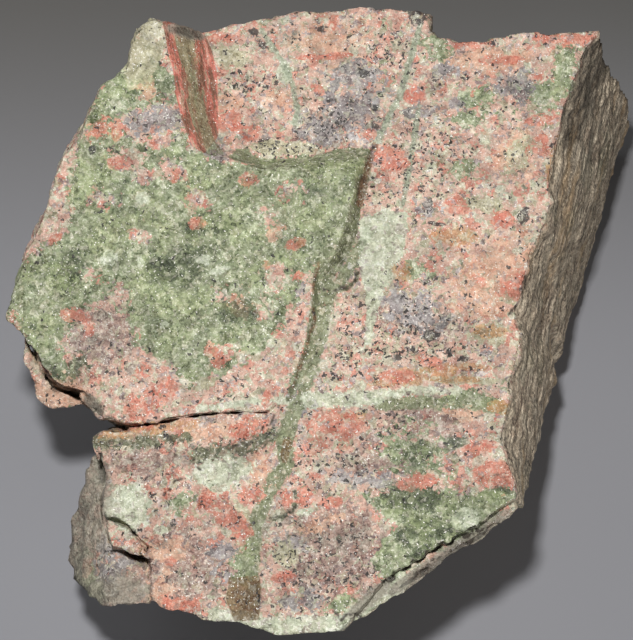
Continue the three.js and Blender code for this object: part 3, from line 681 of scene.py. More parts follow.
@dataclass
class FineMesh:
    """The stone's surface, split until it can carry its small relief.

    Args:
        points: Rows of x, y and z in millimetres.
        corners: The three points of each triangle.
        charts: For each triangle corner, its place on the flat chart of the surface.
    """

    points: np.ndarray
    corners: np.ndarray
    charts: np.ndarray

    @classmethod
    def copied(cls, source: bpy.types.Object, merge_distance: float) -> "FineMesh":
        """Copies a frame stone and merges its loose triangles.

        Args:
            source: The frame's stone.
            merge_distance: How near two points are to be one, in metres.

        Returns:
            The merged surface with a flat chart.
        """
        mesh = source.data.copy()
        work = bmesh.new()
        work.from_mesh(mesh)
        bmesh.ops.remove_doubles(work, verts=work.verts, dist=merge_distance)
        bmesh.ops.triangulate(work, faces=work.faces)
        work.to_mesh(mesh)
        work.free()
        for layer in list(mesh.uv_layers):
            mesh.uv_layers.remove(layer)
        mesh.uv_layers.new(name=CHART_NAME)
        chart_piece = bpy.data.objects.new("chart_piece", mesh)
        bpy.context.scene.collection.objects.link(chart_piece)
        bpy.context.view_layer.objects.active = chart_piece
        chart_piece.select_set(True)
        bpy.ops.object.mode_set(mode="EDIT")
        bpy.ops.mesh.select_all(action="SELECT")
        bpy.ops.uv.smart_project(angle_limit=CHART_ANGLE, island_margin=CHART_GAP)
        bpy.ops.object.mode_set(mode="OBJECT")
        points = np.zeros(len(mesh.vertices) * 3)
        mesh.vertices.foreach_get("co", points)
        corners = np.zeros(len(mesh.loops), np.int32)
        mesh.loops.foreach_get("vertex_index", corners)
        charts = np.zeros(len(mesh.loops) * 2)
        mesh.uv_layers[CHART_NAME].data.foreach_get("uv", charts)
        bpy.data.objects.remove(chart_piece)
        bpy.data.meshes.remove(mesh)
        return cls(points.reshape(-1, 3) / MM, corners.reshape(-1, 3), charts.reshape(-1, 3, 2))

    def face_vectors(self) -> np.ndarray:
        """For each triangle a vector straight out of it, as long as twice its area."""
        a, b, c = (self.points[self.corners[:, i]] for i in range(3))
        return np.cross(b - a, c - a)

    def normals(self) -> np.ndarray:
        """The normal at each point.

        Returns:
            A row for each point, with a length of one.
        """
        faces = self.face_vectors()
        total = np.zeros_like(self.points)
        for axis in range(3):
            for i in range(3):
                total[:, axis] += np.bincount(
                    self.corners[:, i], faces[:, axis], minlength=len(self.points)
                )
        return total / np.maximum(np.linalg.norm(total, axis=1, keepdims=True), TINY)

    def edges(self) -> tuple[np.ndarray, np.ndarray]:
        """Each edge's two ends, and for each triangle side the edge that it is.

        Returns:
            The two arrays.
        """
        sides = self.corners[:, [0, 1, 1, 2, 2, 0]].reshape(-1, 2)
        low, high = sides.min(1).astype(np.int64), sides.max(1).astype(np.int64)
        keys, side_edges = np.unique(low * len(self.points) + high, return_inverse=True)
        ends = np.stack([keys // len(self.points), keys % len(self.points)], 1)
        return ends, side_edges.reshape(-1, 3)

    def split_once(self, limits: np.ndarray) -> bool:
        """Halves each edge over its limit that is the longest of both its triangles.

        Args:
            limits: The longest edge wanted at each point.

        Returns:
            Whether any edge was halved.
        """
        ends, side_edges = self.edges()
        lengths = np.linalg.norm(self.points[ends[:, 0]] - self.points[ends[:, 1]], axis=1)
        ranks = np.empty(len(ends), np.int64)
        ranks[np.argsort(lengths, kind="stable")] = np.arange(len(ends))
        longest = ranks[side_edges].argmax(1)
        chosen = side_edges[np.arange(len(longest)), longest]
        shared = np.bincount(chosen, minlength=len(ends)) == 2
        too_long = lengths > limits[ends].mean(1)
        halved = np.flatnonzero(shared & too_long)
        if not len(halved):
            return False
        middle = np.full(len(ends), -1)
        middle[halved] = len(self.points) + np.arange(len(halved))
        self.points = np.vstack([self.points, self.points[ends[halved]].mean(1)])
        split = np.flatnonzero(middle[chosen] >= 0)
        order = (longest[split, None] + np.arange(3)) % 3
        rows = split[:, None]
        a, b, c = self.corners[rows, order].T
        chart_a, chart_b, chart_c = np.moveaxis(self.charts[rows, order], 1, 0)
        new = middle[chosen[split]]
        chart_new = (chart_a + chart_b) / 2
        self.corners[split] = np.stack([a, new, c], 1)
        self.charts[split] = np.stack([chart_a, chart_new, chart_c], 1)
        self.corners = np.vstack([self.corners, np.stack([new, b, c], 1)])
        self.charts = np.concatenate([self.charts, np.stack([chart_new, chart_b, chart_c], 1)])
        return True

    def soften(self, rounds: int, crease_degrees: float) -> None:
        """Rounds the facets away and keeps the sharp edges.

        Args:
            rounds: How many times each point moves to the middle of its neighbours.
            crease_degrees: Edges that turn more than this stay sharp.
        """
        ends, side_edges = self.edges()
        faces = self.face_vectors()
        faces /= np.maximum(np.linalg.norm(faces, axis=1, keepdims=True), TINY)
        total = np.stack(
            [
                np.bincount(side_edges.ravel(), np.repeat(faces[:, i], 3), minlength=len(ends))
                for i in range(3)
            ],
            1,
        )
        cosine = (total**2).sum(1) / 2 - 1
        sharp = cosine < math.cos(math.radians(crease_degrees))
        on_crease = np.zeros(len(self.points), bool)
        on_crease[ends[sharp].ravel()] = True
        used = sharp | ~(on_crease[ends[:, 0]] & on_crease[ends[:, 1]])
        ends = ends[used]
        sharp = sharp[used]
        count = len(self.points)
        for _ in range(rounds):
            moved = np.zeros_like(self.points)
            weight = np.zeros(count)
            for here, there in ((0, 1), (1, 0)):
                felt = np.where(on_crease[ends[:, here]], sharp, True).astype(float)
                weight += np.bincount(ends[:, here], felt, minlength=count)
                for axis in range(3):
                    pull = self.points[ends[:, there], axis] * felt
                    moved[:, axis] += np.bincount(ends[:, here], pull, minlength=count)
            middle = moved / np.maximum(weight, 1)[:, None]
            self.points = np.where(weight[:, None] > 1, (self.points + middle) / 2, self.points)

    def as_object(self, name: str, attributes: dict[str, np.ndarray]) -> bpy.types.Object:
        """Makes a Blender object of the surface.

        Args:
            name: Its name.
            attributes: A number for each point, by name.

        Returns:
            The new object, in metres.
        """
        mesh = bpy.data.meshes.new(name)
        mesh.from_pydata((self.points * MM).tolist(), [], self.corners.tolist())
        layer = mesh.uv_layers.new(name=CHART_NAME)
        layer.data.foreach_set("uv", self.charts.ravel())
        for attribute, values in attributes.items():
            stored = mesh.attributes.new(attribute, "FLOAT", "POINT")
            stored.data.foreach_set("value", values.astype(np.float32))
        mesh.polygons.foreach_set("use_smooth", [True] * len(mesh.polygons))
        piece = bpy.data.objects.new(name, mesh)
        bpy.context.scene.collection.objects.link(piece)
        return piece


@dataclass
class MineralMap:
    """Where each mineral is, for every point of the surface.

    Args:
        sight: The frame that the patches are placed in.
        fade_per_depth: How fast a patch closes below the broad face.
        usual_patch: The half width of a patch whose edge is as ragged as its mineral's grains.
        edge_rates: The most and the least ragged edges, for larger and smaller patches.
        outline_rate: How much cleaner than an ellipse's the edge of an outline is.
        outline_fade: How fast an outline closes below the broad face.
        hidden_sizes: The smallest and largest radius of the hidden sides' patches.
        hidden_flatness: How much a hidden patch may be stretched or flattened each way.
        hidden_from: How deep below the broad face they start, and how fast they open there.
        seed: Fixes the hidden patches.
        farthest: The largest distance that is kept, and the greatest depth.
        wander: For each wave that a crack wanders in, its height and its pace across and up.
        crack_reach: How far from the broad face a crack shows.
        bark_turn: How far a surface turns to the right before it is weathered, and wholly so.
        bark_depth: The depths at which the weathering starts and is whole.
        base_turn: The same turn for the flat underside.
        base_height: The heights at which the underside's calm ends and is whole.
        hidden_patches: How many patches the hidden sides get for each mineral.
    """

    sight: SightFrame
    fade_per_depth: float = 0.8
    usual_patch: float = 2.2
    edge_rates: Pair = (0.45, 1.3)
    outline_rate: float = 1.5
    outline_fade: float = 0.4
    hidden_sizes: Pair = (2.0, 9.0)
    hidden_flatness: Pair = (0.5, 1.6)
    hidden_from: Pair = (5.0, 0.6)
    seed: int = 11
    farthest: Pair = (6.0, 60.0)
    wander: Rows = ((0.25, 1.3, 0.7), (0.15, -1.7, 2.9))
    crack_reach: float = 4.0
    bark_turn: Pair = (0.35, 0.62)
    bark_depth: Pair = (0.6, 2.2)
    base_turn: Pair = (0.8, 0.95)
    base_height: Pair = (-3.0, -1.0)
    hidden_patches: dict[Mineral, int] = field(
        default_factory=lambda: {
            Mineral.EPIDOTE: 60,
            Mineral.SALMON: 50,
            Mineral.CORAL: 40,
            Mineral.QUARTZ: 40,
            Mineral.CREAM: 24,
            Mineral.MINT: 20,
            Mineral.OCHRE: 24,
            Mineral.PEPPER: 40,
        }
    )

    def depth_of(self, points: np.ndarray) -> np.ndarray:
        """How deep each point is below the broad face, in millimetres."""
        across, up, near = self.sight.seen(points)
        return self.sight.level(across, up) - near

    def drawn(self, mineral: Mineral, points: np.ndarray) -> np.ndarray:
        """How far each point is inside the patches, outlines and veins of one mineral.

        Args:
            mineral: The mineral.
            points: The surface's points in millimetres.

        Returns:
            The distance at each point, negative outside.
        """
        across, up, _ = self.sight.seen(points)
        depth = np.maximum(self.depth_of(points), 0)
        inside = np.full(len(points), -self.farthest[0])
        for row in PATCHES.get(mineral, ()):
            reach = row[5] if len(row) > 5 else row[3]
            below = np.maximum(depth - reach, 0) * self.fade_per_depth
            rate = np.clip(self.usual_patch / row[3], *self.edge_rates)
            inside = np.maximum(inside, in_ellipse(across, up, row) * rate - below)
        for outline in OUTLINES.get(mineral, ()):
            drawn = in_outline(across, up, outline) * self.outline_rate
            inside = np.maximum(inside, drawn - depth * self.outline_fade)
        for half_width, line in VEINS.get(mineral, ()):
            inside = np.maximum(inside, half_width - from_line(across, up, line, closed=False))
        return inside

    def hidden(self, mineral: Mineral, points: np.ndarray) -> np.ndarray:
        """How far each point is inside seeded patches, which stay clear of the broad face.

        Args:
            mineral: The mineral.
            points: The surface's points in millimetres.

        Returns:
            The distance at each point, negative outside.
        """
        number = list(Mineral).index(mineral)
        chance = np.random.default_rng([self.seed, number])
        inside = np.full(len(points), -self.farthest[0])
        low, high = points.min(0), points.max(0)
        depth = self.depth_of(points)
        for _ in range(self.hidden_patches.get(mineral, 0)):
            middle = chance.uniform(low, high)
            middle = points[np.linalg.norm(points - middle, axis=1).argmin()]
            size = chance.uniform(*self.hidden_sizes)
            flat = chance.uniform(*self.hidden_flatness, 3)
            away = np.linalg.norm((points - middle) * flat, axis=1)
            inside = np.maximum(inside, size - away)
        start, opening = self.hidden_from
        return np.minimum(inside, (depth - start) * opening)

    def attributes(self, points: np.ndarray, normals: np.ndarray) -> dict[str, np.ndarray]:
        """All the numbers that the relief and the finish read.

        Args:
            points: The surface's points in millimetres.
            normals: The normals there.

        Returns:
            An array for each attribute's name.
        """
        across, up, _ = self.sight.seen(points)
        depth = self.depth_of(points)
        found = {}
        for mineral in Mineral:
            inside = np.maximum(self.drawn(mineral, points), self.hidden(mineral, points))
            if mineral is Mineral.EPIDOTE:
                for row in PINK_IN_GREEN:
                    inside = np.minimum(inside, -in_ellipse(across, up, row))
            found[mineral.value] = np.clip(inside, -self.farthest[0], self.farthest[0])
        crack = np.zeros(len(points))
        waves = (height * np.sin(a * across + u * up) for height, a, u in self.wander)
        wander = sum(waves)
        for half_width, deep, line in CRACKS:
            away = from_line(across + wander, up - wander, line, closed=False)
            share = np.clip(1 - away / (2 * half_width), 0, 1) * (np.abs(depth) < self.crack_reach)
            crack = np.maximum(crack, share * deep)
        found["crack"] = crack
        found["depth"] = np.clip(depth, -self.farthest[0], self.farthest[1])
        found["bark"] = smooth(normals[:, 0], *self.bark_turn) * smooth(depth, *self.bark_depth)
        low = smooth(-points[:, 2], *self.base_height)
        found["base"] = smooth(-normals[:, 2], *self.base_turn) * low
        return found


@dataclass(frozen=True)
class Relief:
    """The stone's broken relief, in millimetres, and the tree that makes it.

    Args:
        grain: Spacing and height of the sugary grain.
        chips: Spacing and height of the small conchoidal breaks.
        steps: Spacing and whole height of the terraces.
        waves: Spacing and height of the broad unevenness.
        side_waves: The same on the sides.
        bark: Spacing and height of the weathered side's ridges.
        scratches: Spacing and height of the streaks on the plate's red wall.
        crack_depth: How deep the closed cracks are, as a share of their own depth.
        seed: Moves the patterns to another place.
        chip_bowl: How fast a chip falls away from its middle, and its height there.
        step_levels: How many terraces a whole step has above and below the middle.
        bark_length: How much shorter the bark's ridges are measured along than across.
        scratch_length: The same for the red wall's streaks.
        crest: How high a ridge of the bark stands over its foot.
        side_depth: The depths where a side's relief starts and is whole.
        deep_depth: The same for the chips on the sides.
        smooth_edge: How far outside and inside a smooth mineral the relief calms.
        wall_edge: The same for the red wall.
        smooth_calm: How much of the relief a smooth mineral takes away.
        wall_calm: How much the red wall takes away.
    """

    grain: Pair = (2.0, 0.5)
    chips: Pair = (4.6, 0.7)
    steps: Pair = (13.0, 2.6)
    waves: Pair = (15.0, 0.7)
    side_waves: Pair = (9.0, 2.4)
    bark: Pair = (3.0, 2.0)
    scratches: Pair = (1.6, 0.7)
    crack_depth: float = 1.0
    seed: float = 3.0
    chip_bowl: Pair = (-1.6, 0.8)
    step_levels: float = 3.0
    bark_length: float = 0.09
    scratch_length: float = 0.08
    crest: float = 0.45
    side_depth: Pair = (1.5, 6.0)
    deep_depth: Pair = (5.0, 14.0)
    smooth_edge: Pair = (-0.3, 0.6)
    wall_edge: Pair = (-0.3, 0.3)
    smooth_calm: float = 0.55
    wall_calm: float = 0.6

    def inputs(self) -> dict[str, float]:
        """The tree's named inputs and their values.

        Returns:
            The values by name.
        """
        named = {
            "Grain": self.grain,
            "Chip": self.chips,
            "Step": self.steps,
            "Wave": self.waves,
            "Side Wave": self.side_waves,
            "Bark": self.bark,
            "Scratch": self.scratches,
        }
        given = {}
        for name, (spacing, height) in named.items():
            given[f"{name} Spacing"] = spacing
            given[f"{name} Height"] = height
        return given | {"Crack Depth": self.crack_depth, "Seed": self.seed}

    def tree(self, sight: SightFrame) -> bpy.types.NodeTree:
        """Builds the relief tree.

        Args:
            sight: Gives the directions of the weathered side and the red wall.

        Returns:
            The tree, with one named input for each size.
        """
        tree = bpy.data.node_groups.new("stone_relief", "GeometryNodeTree")
        tree.interface.new_socket("Geometry", in_out="INPUT", socket_type="NodeSocketGeometry")
        for name in self.inputs():
            tree.interface.new_socket(name, in_out="INPUT", socket_type="NodeSocketFloat")
        tree.interface.new_socket("Finish", in_out="INPUT", socket_type="NodeSocketMaterial")
        tree.interface.new_socket("Geometry", in_out="OUTPUT", socket_type="NodeSocketGeometry")
        desk = Desk(tree)
        given = desk.add("NodeGroupInput").outputs
        height = self.height(desk, given, sight)
        # The height is kept so that the finish can paint shade into the pits.
        inputs = {"Geometry": given["Geometry"], "Name": "relief", "Value": height}
        noted = desk.add("GeometryNodeStoreNamedAttribute", inputs, domain="POINT").outputs[0]
        offset = desk.number("MULTIPLY", height, MM)
        offset = desk.scaled(desk.add("GeometryNodeInputNormal").outputs[0], offset)
        moved = desk.add("GeometryNodeSetPosition", {"Geometry": noted, "Offset": offset})
        real = desk.add("GeometryNodeRealizeInstances", {0: moved.outputs[0]})
        inputs = {"Geometry": real.outputs[0], "Material": given["Finish"]}
        finished = desk.add("GeometryNodeSetMaterial", inputs)
        desk.add("NodeGroupOutput", {0: finished.outputs[0]})
        return tree

    def height(self, desk: Desk, given: bpy.types.bpy_prop_collection, sight: SightFrame) -> Socket:
        """The relief's height at each point, in millimetres.

        Args:
            desk: The tree's desk.
            given: The tree's inputs.
            sight: Gives the directions of the weathered side and the red wall.

        Returns:
            The height's socket.
        """
        place = desk.scaled(desk.add("GeometryNodeInputPosition").outputs[0], 1 / MM)
        place = desk.vector("ADD", place, desk.scaled(desk.fixed((1, 1, 1)), given["Seed"]))

        def stored(name: str) -> Socket:
            """A stored attribute's value."""
            kind = "GeometryNodeInputNamedAttribute"
            return desk.add(kind, {"Name": name}, data_type="FLOAT").outputs[0]

        def pace(name: str) -> Socket:
            """How many bumps of a pattern fit in a millimetre."""
            return desk.number("DIVIDE", 1.0, given[f"{name} Spacing"])

        def bumps(at: Socket, name: str, detail: float) -> Socket:
            """Noise from -1 to 1 at a spacing that is an input."""
            inputs = {"Vector": at, "Scale": pace(name), "Detail": detail}
            noise = desk.add("ShaderNodeTexNoise", inputs).outputs[0]
            return desk.number("MULTIPLY_ADD", noise, 2.0, -1.0)

        inputs = {"Vector": place, "Scale": pace("Chip"), "Randomness": 1.0}
        chips = desk.add("ShaderNodeTexVoronoi", inputs, feature="F1").outputs["Distance"]
        chips = desk.number("MULTIPLY_ADD", chips, *self.chip_bowl)
        steps = desk.number("MULTIPLY", bumps(place, "Step", 3.0), self.step_levels)
        steps = desk.number("DIVIDE", desk.number("FLOOR", steps), 2 * self.step_levels)
        ridges = bumps(desk.along(place, sight.bark_way, self.bark_length), "Bark", 4.0)
        ridges = desk.number("SUBTRACT", self.crest, desk.number("ABSOLUTE", ridges))
        streaks = desk.along(place, sight.scratch_way, self.scratch_length)

        smooth_here = desk.number("MAXIMUM", stored("mint"), stored("sage"))
        smooth_here = desk.ramp(smooth_here, *self.smooth_edge)
        wall = desk.ramp(stored("red_wall"), *self.wall_edge)
        side = desk.ramp(stored("depth"), *self.side_depth)
        deep = desk.ramp(stored("depth"), *self.deep_depth)
        calm_here = desk.rest(desk.number("MULTIPLY", smooth_here, self.smooth_calm))
        calm_wall = desk.rest(desk.number("MULTIPLY", wall, self.wall_calm))
        rough_here = desk.product(calm_here, calm_wall)
        face = desk.rest(side)
        weathered = stored("bark")
        fresh = desk.rest(weathered)
        layers = (
            (bumps(place, "Grain", 3.0), "Grain Height", rough_here),
            (chips, "Chip Height", rough_here),
            (bumps(place, "Wave", 2.0), "Wave Height", face),
            (steps, "Step Height", desk.product(face, rough_here)),
            (chips, "Chip Height", desk.product(fresh, deep)),
            (bumps(place, "Side Wave", 4.0), "Side Wave Height", desk.product(fresh, side)),
            (ridges, "Bark Height", weathered),
            (bumps(streaks, "Scratch", 2.0), "Scratch Height", wall),
            (stored("crack"), "Crack Depth", -1.0),
        )
        parts = ((desk.product(pattern, given[size]), share) for pattern, size, share in layers)
        total = desk.weighed(0.0, *parts)
        return desk.product(total, desk.rest(stored("base")))

    def applied(
        self, piece: bpy.types.Object, tree: bpy.types.NodeTree, finish: bpy.types.Material
    ) -> bpy.types.Object:
        """Runs the tree on a piece and keeps the result as its plain mesh.

        Args:
            piece: The piece to roughen.
            tree: The relief tree.
            finish: The material that the tree sets.

        Returns:
            The piece, with no modifier left on it.
        """
        modifier = piece.modifiers.new("relief", "NODES")
        modifier.node_group = tree
        given = {s.name: s.identifier for s in tree.interface.items_tree if s.in_out == "INPUT"}
        for name, value in self.inputs().items():
            modifier[given[name]] = value
        modifier[given["Finish"]] = finish
        bpy.context.view_layer.update()
        evaluated = piece.evaluated_get(bpy.context.evaluated_depsgraph_get())
        result = bpy.data.meshes.new_from_object(evaluated)
        piece.modifiers.remove(modifier)
        old = piece.data
        piece.data = result
        bpy.data.meshes.remove(old)
        result.name = piece.name
        return piece


# The random numbers between which a grain's tone goes from dark to middle, and on to light.
DARK_TO_MIDDLE = (0.05, 0.5)
MIDDLE_TO_LIGHT = (0.55, 0.95)


@dataclass(frozen=True)
class Tones:
    """The tones that one mineral's grains take, from its darkest to its lightest."""

    dark: tuple[float, float, float]
    middle: tuple[float, float, float]
    light: tuple[float, float, float]

    def mixed(self, desk: Desk, pick: Socket) -> Socket:
        """The tone of each grain, by its random number.

        Args:
            desk: The material's desk.
            pick: The grains' random number.

        Returns:
            The colour.
        """
        share = desk.ramp(pick, *DARK_TO_MIDDLE)
        low = desk.blend(share, colour(*self.dark), colour(*self.middle))
        return desk.blend(desk.ramp(pick, *MIDDLE_TO_LIGHT), low, colour(*self.light))


@dataclass(frozen=True)
class Coat:
    """How one mineral is laid over those before it.

    Args:
        mineral: The mineral.
        tones: Its grains' tones.
        channel: Which random number of the grains shapes its edge.
        coarse_reach: How far large crystals cross its edge, in millimetres.
        fine_reach: How far small crystals cross it.
        blur_reach: How far smooth noise moves it.
        share: How much of what lies beneath it covers.
        by_crystal: Whether whole crystals, not small grains, pick the tone.
        hole_share: How much of it is left where a stray grain comes through.
    """

    mineral: Mineral
    tones: Tones
    channel: int = 0
    coarse_reach: float = 2.0
    fine_reach: float = 1.6
    blur_reach: float = 3.0
    share: float = 0.9
    by_crystal: bool = False
    hole_share: float = 0.4


PINK = Tones((184, 136, 120), (202, 166, 148), (214, 196, 178))
EPIDOTE = Tones((80, 94, 60), (134, 144, 110), (184, 190, 162))
SALMON = Tones((190, 138, 114), (204, 162, 136), (214, 184, 160))
CREAM = Tones((150, 146, 114), (180, 174, 144), (206, 202, 180))
QUARTZ = Tones((54, 52, 56), (146, 140, 139), (212, 208, 205))
MINT = Tones((150, 158, 130), (190, 196, 170), (212, 214, 198))
SAGE = Tones((92, 98, 68), (124, 130, 98), (154, 158, 130))
CORAL = Tones((180, 92, 72), (198, 122, 102), (210, 160, 140))
OCHRE = Tones((110, 78, 46), (182, 132, 86), (204, 162, 116))
MOSS = Tones((50, 56, 40), (80, 90, 62), (128, 134, 104))
DARK = Tones((34, 31, 30), (52, 49, 47), (88, 84, 78))
MAUVE = Tones((84, 66, 64), (146, 122, 112), (190, 172, 160))
# Olive tones darkened with painted shade, for the plate's right cliff and its ledge.
SHADED_CLIFF = Tones((70, 72, 48), (98, 100, 72), (132, 134, 104))
VEIN = Tones((110, 119, 98), (148, 156, 132), (176, 183, 160))
UMBER = Tones((78, 60, 34), (108, 86, 54), (132, 108, 74))
# Dark brown tones, mostly painted shade on the plate's right cliff.
BROWN_SHADE = Tones((70, 46, 32), (104, 70, 48), (140, 104, 76))
CRUST = Tones((95, 87, 73), (157, 143, 122), (203, 188, 164))
GREY = Tones((92, 88, 78), (140, 133, 119), (176, 169, 153))
RED_WALL = Tones((134, 92, 72), (192, 106, 90), (206, 148, 130))

COATS = (
    Coat(Mineral.MAUVE, MAUVE, 2, 3.0, 3.0, share=0.75),
    Coat(Mineral.QUARTZ, QUARTZ, 2, 2.6, 2.4, share=0.85, by_crystal=True),
    Coat(Mineral.EPIDOTE, EPIDOTE, 0, 3.0, 2.6, share=0.95, hole_share=0.7),
    Coat(Mineral.SALMON, SALMON, 1, 2.4, 2.2, share=0.85, by_crystal=True),
    Coat(Mineral.CREAM, CREAM, 2, 1.8, 1.6, share=0.95, hole_share=0.6),
    Coat(Mineral.MOSS, MOSS, 2, 1.0, 1.4, share=0.85),
    Coat(Mineral.SAGE, SAGE, 0, 0.5, 0.7, 1.0, share=0.95),
    Coat(Mineral.MINT, MINT, 1, 0.7, 0.9, 1.4),
    Coat(Mineral.VEIN, VEIN, 1, 0.3, 0.4, 0.8, hole_share=0.8),
    Coat(Mineral.SHADED_CLIFF, SHADED_CLIFF, 1, 0.3, 0.4, 0.8, share=0.95),
    Coat(Mineral.OCHRE, OCHRE, 0, 1.6, 1.6, share=0.7, by_crystal=True),
    Coat(Mineral.BROWN_SHADE, BROWN_SHADE, 1, 0.3, 0.5, 0.8, share=0.8),
    Coat(Mineral.UMBER, UMBER, 1, 0.4, 0.5, 0.8, hole_share=0.7),
    Coat(Mineral.CORAL, CORAL, 1, 1.3, 1.2, 2.2, share=0.82, by_crystal=True),
    Coat(Mineral.DARK, DARK, 0, 0.8, 1.0),
)


@dataclass(frozen=True)
class Grain:
    """Crystals of another mineral that are scattered over the pink ground.

    Args:
        coarse: Whether they are the large crystals or the small ones.
        channel: Which of the crystals' random numbers picks them.
        shown: The smooth step from that number to how much of the mineral shows.
        tones: The mineral's tones.
    """

    coarse: bool
    channel: int
    shown: Ramp
    tones: Tones


GRAINS = (
    Grain(True, 1, (0.74, 0.8, 0.0, 0.6), CORAL),
    Grain(False, 2, (0.78, 0.84, 0.0, 0.75), QUARTZ),
    Grain(False, 1, (0.74, 0.8, 0.0, 0.8), CREAM),
    Grain(True, 2, (0.88, 0.92, 0.0, 0.6), MINT),
    Grain(False, 0, (0.9, 0.94, 0.0, 0.6), EPIDOTE),
)


@dataclass(frozen=True)
class Tint:
    """One colour that a noise pattern lays over the stone.

    Args:
        pattern: The pattern's spacing in millimetres, and its detail.
        shown: The smooth step from the pattern to how much of the colour shows.
        tone: The colour's red, green and blue from 0 to 255.
    """

    pattern: Pair
    shown: Ramp
    tone: tuple[float, float, float]

    def share(self, desk: Desk, place: Socket) -> Socket:
        """How much of the colour shows at each place."""
        return desk.ramp(desk.noise(place, *self.pattern), *self.shown)

    def over(self, desk: Desk, share: Socket, surface: Socket) -> Socket:
        """The surface's colour with a share of this one over it."""
        return desk.blend(share, surface, colour(*self.tone))


FROST = Tint((1.3, 2.0), (0.54, 0.68, 0.0, 0.4), (206, 200, 182))
LUSH = Tint((8.0, 3.0), (0.46, 0.6, 0.0, 0.28), (158, 170, 112))
TAN = Tint((9.0, 3.0), (0.54, 0.66, 0.0, 0.5), (168, 138, 98))
# Painted highlight: whitish specks that stand for the lamp's glints on grains.
PAINTED_GLINT = Tint((0.5, 1.0), (0.68, 0.72, 0.0, 1.0), (238, 234, 224))
SPLIT_TONE = (56, 50, 42)
CRACK_TONE = (52, 44, 36)


@dataclass(frozen=True)
class Patterns:
    """The patterns that the stone's colours, shine and small bumps share.

    Args:
        place: The place in the stone, in millimetres.
        bent: The same place, moved about so that crystals get uneven edges.
        fine: The small crystals.
        sugar: The smallest grains.
        specks: The dark specks.
        coarse_picks: Three random numbers for each large crystal.
        fine_picks: The same for each small crystal.
        sugar_picks: The same for each of the smallest grains.
        speck_picks: The same for each speck.
        cloud: Wide, soft variation.
        blotch: Variation from crystal to crystal.
        grit: The finest variation.
        mottle: What picks a tone from most minerals' tones.
        crystal: What picks a tone where each crystal has its own.
    """

    place: Socket
    bent: Socket
    fine: bpy.types.Node
    sugar: bpy.types.Node
    specks: bpy.types.Node
    coarse_picks: bpy.types.bpy_prop_collection
    fine_picks: bpy.types.bpy_prop_collection
    sugar_picks: bpy.types.bpy_prop_collection
    speck_picks: bpy.types.bpy_prop_collection
    cloud: Socket
    blotch: Socket
    grit: Socket
    mottle: Socket
    crystal: Socket


def mask_of(desk: Desk, name: str) -> Socket:
    """A number that the mesh carries at each point, in a material."""
    kind = "ShaderNodeAttribute"
    return desk.add(kind, attribute_name=name, attribute_type="GEOMETRY").outputs["Fac"]


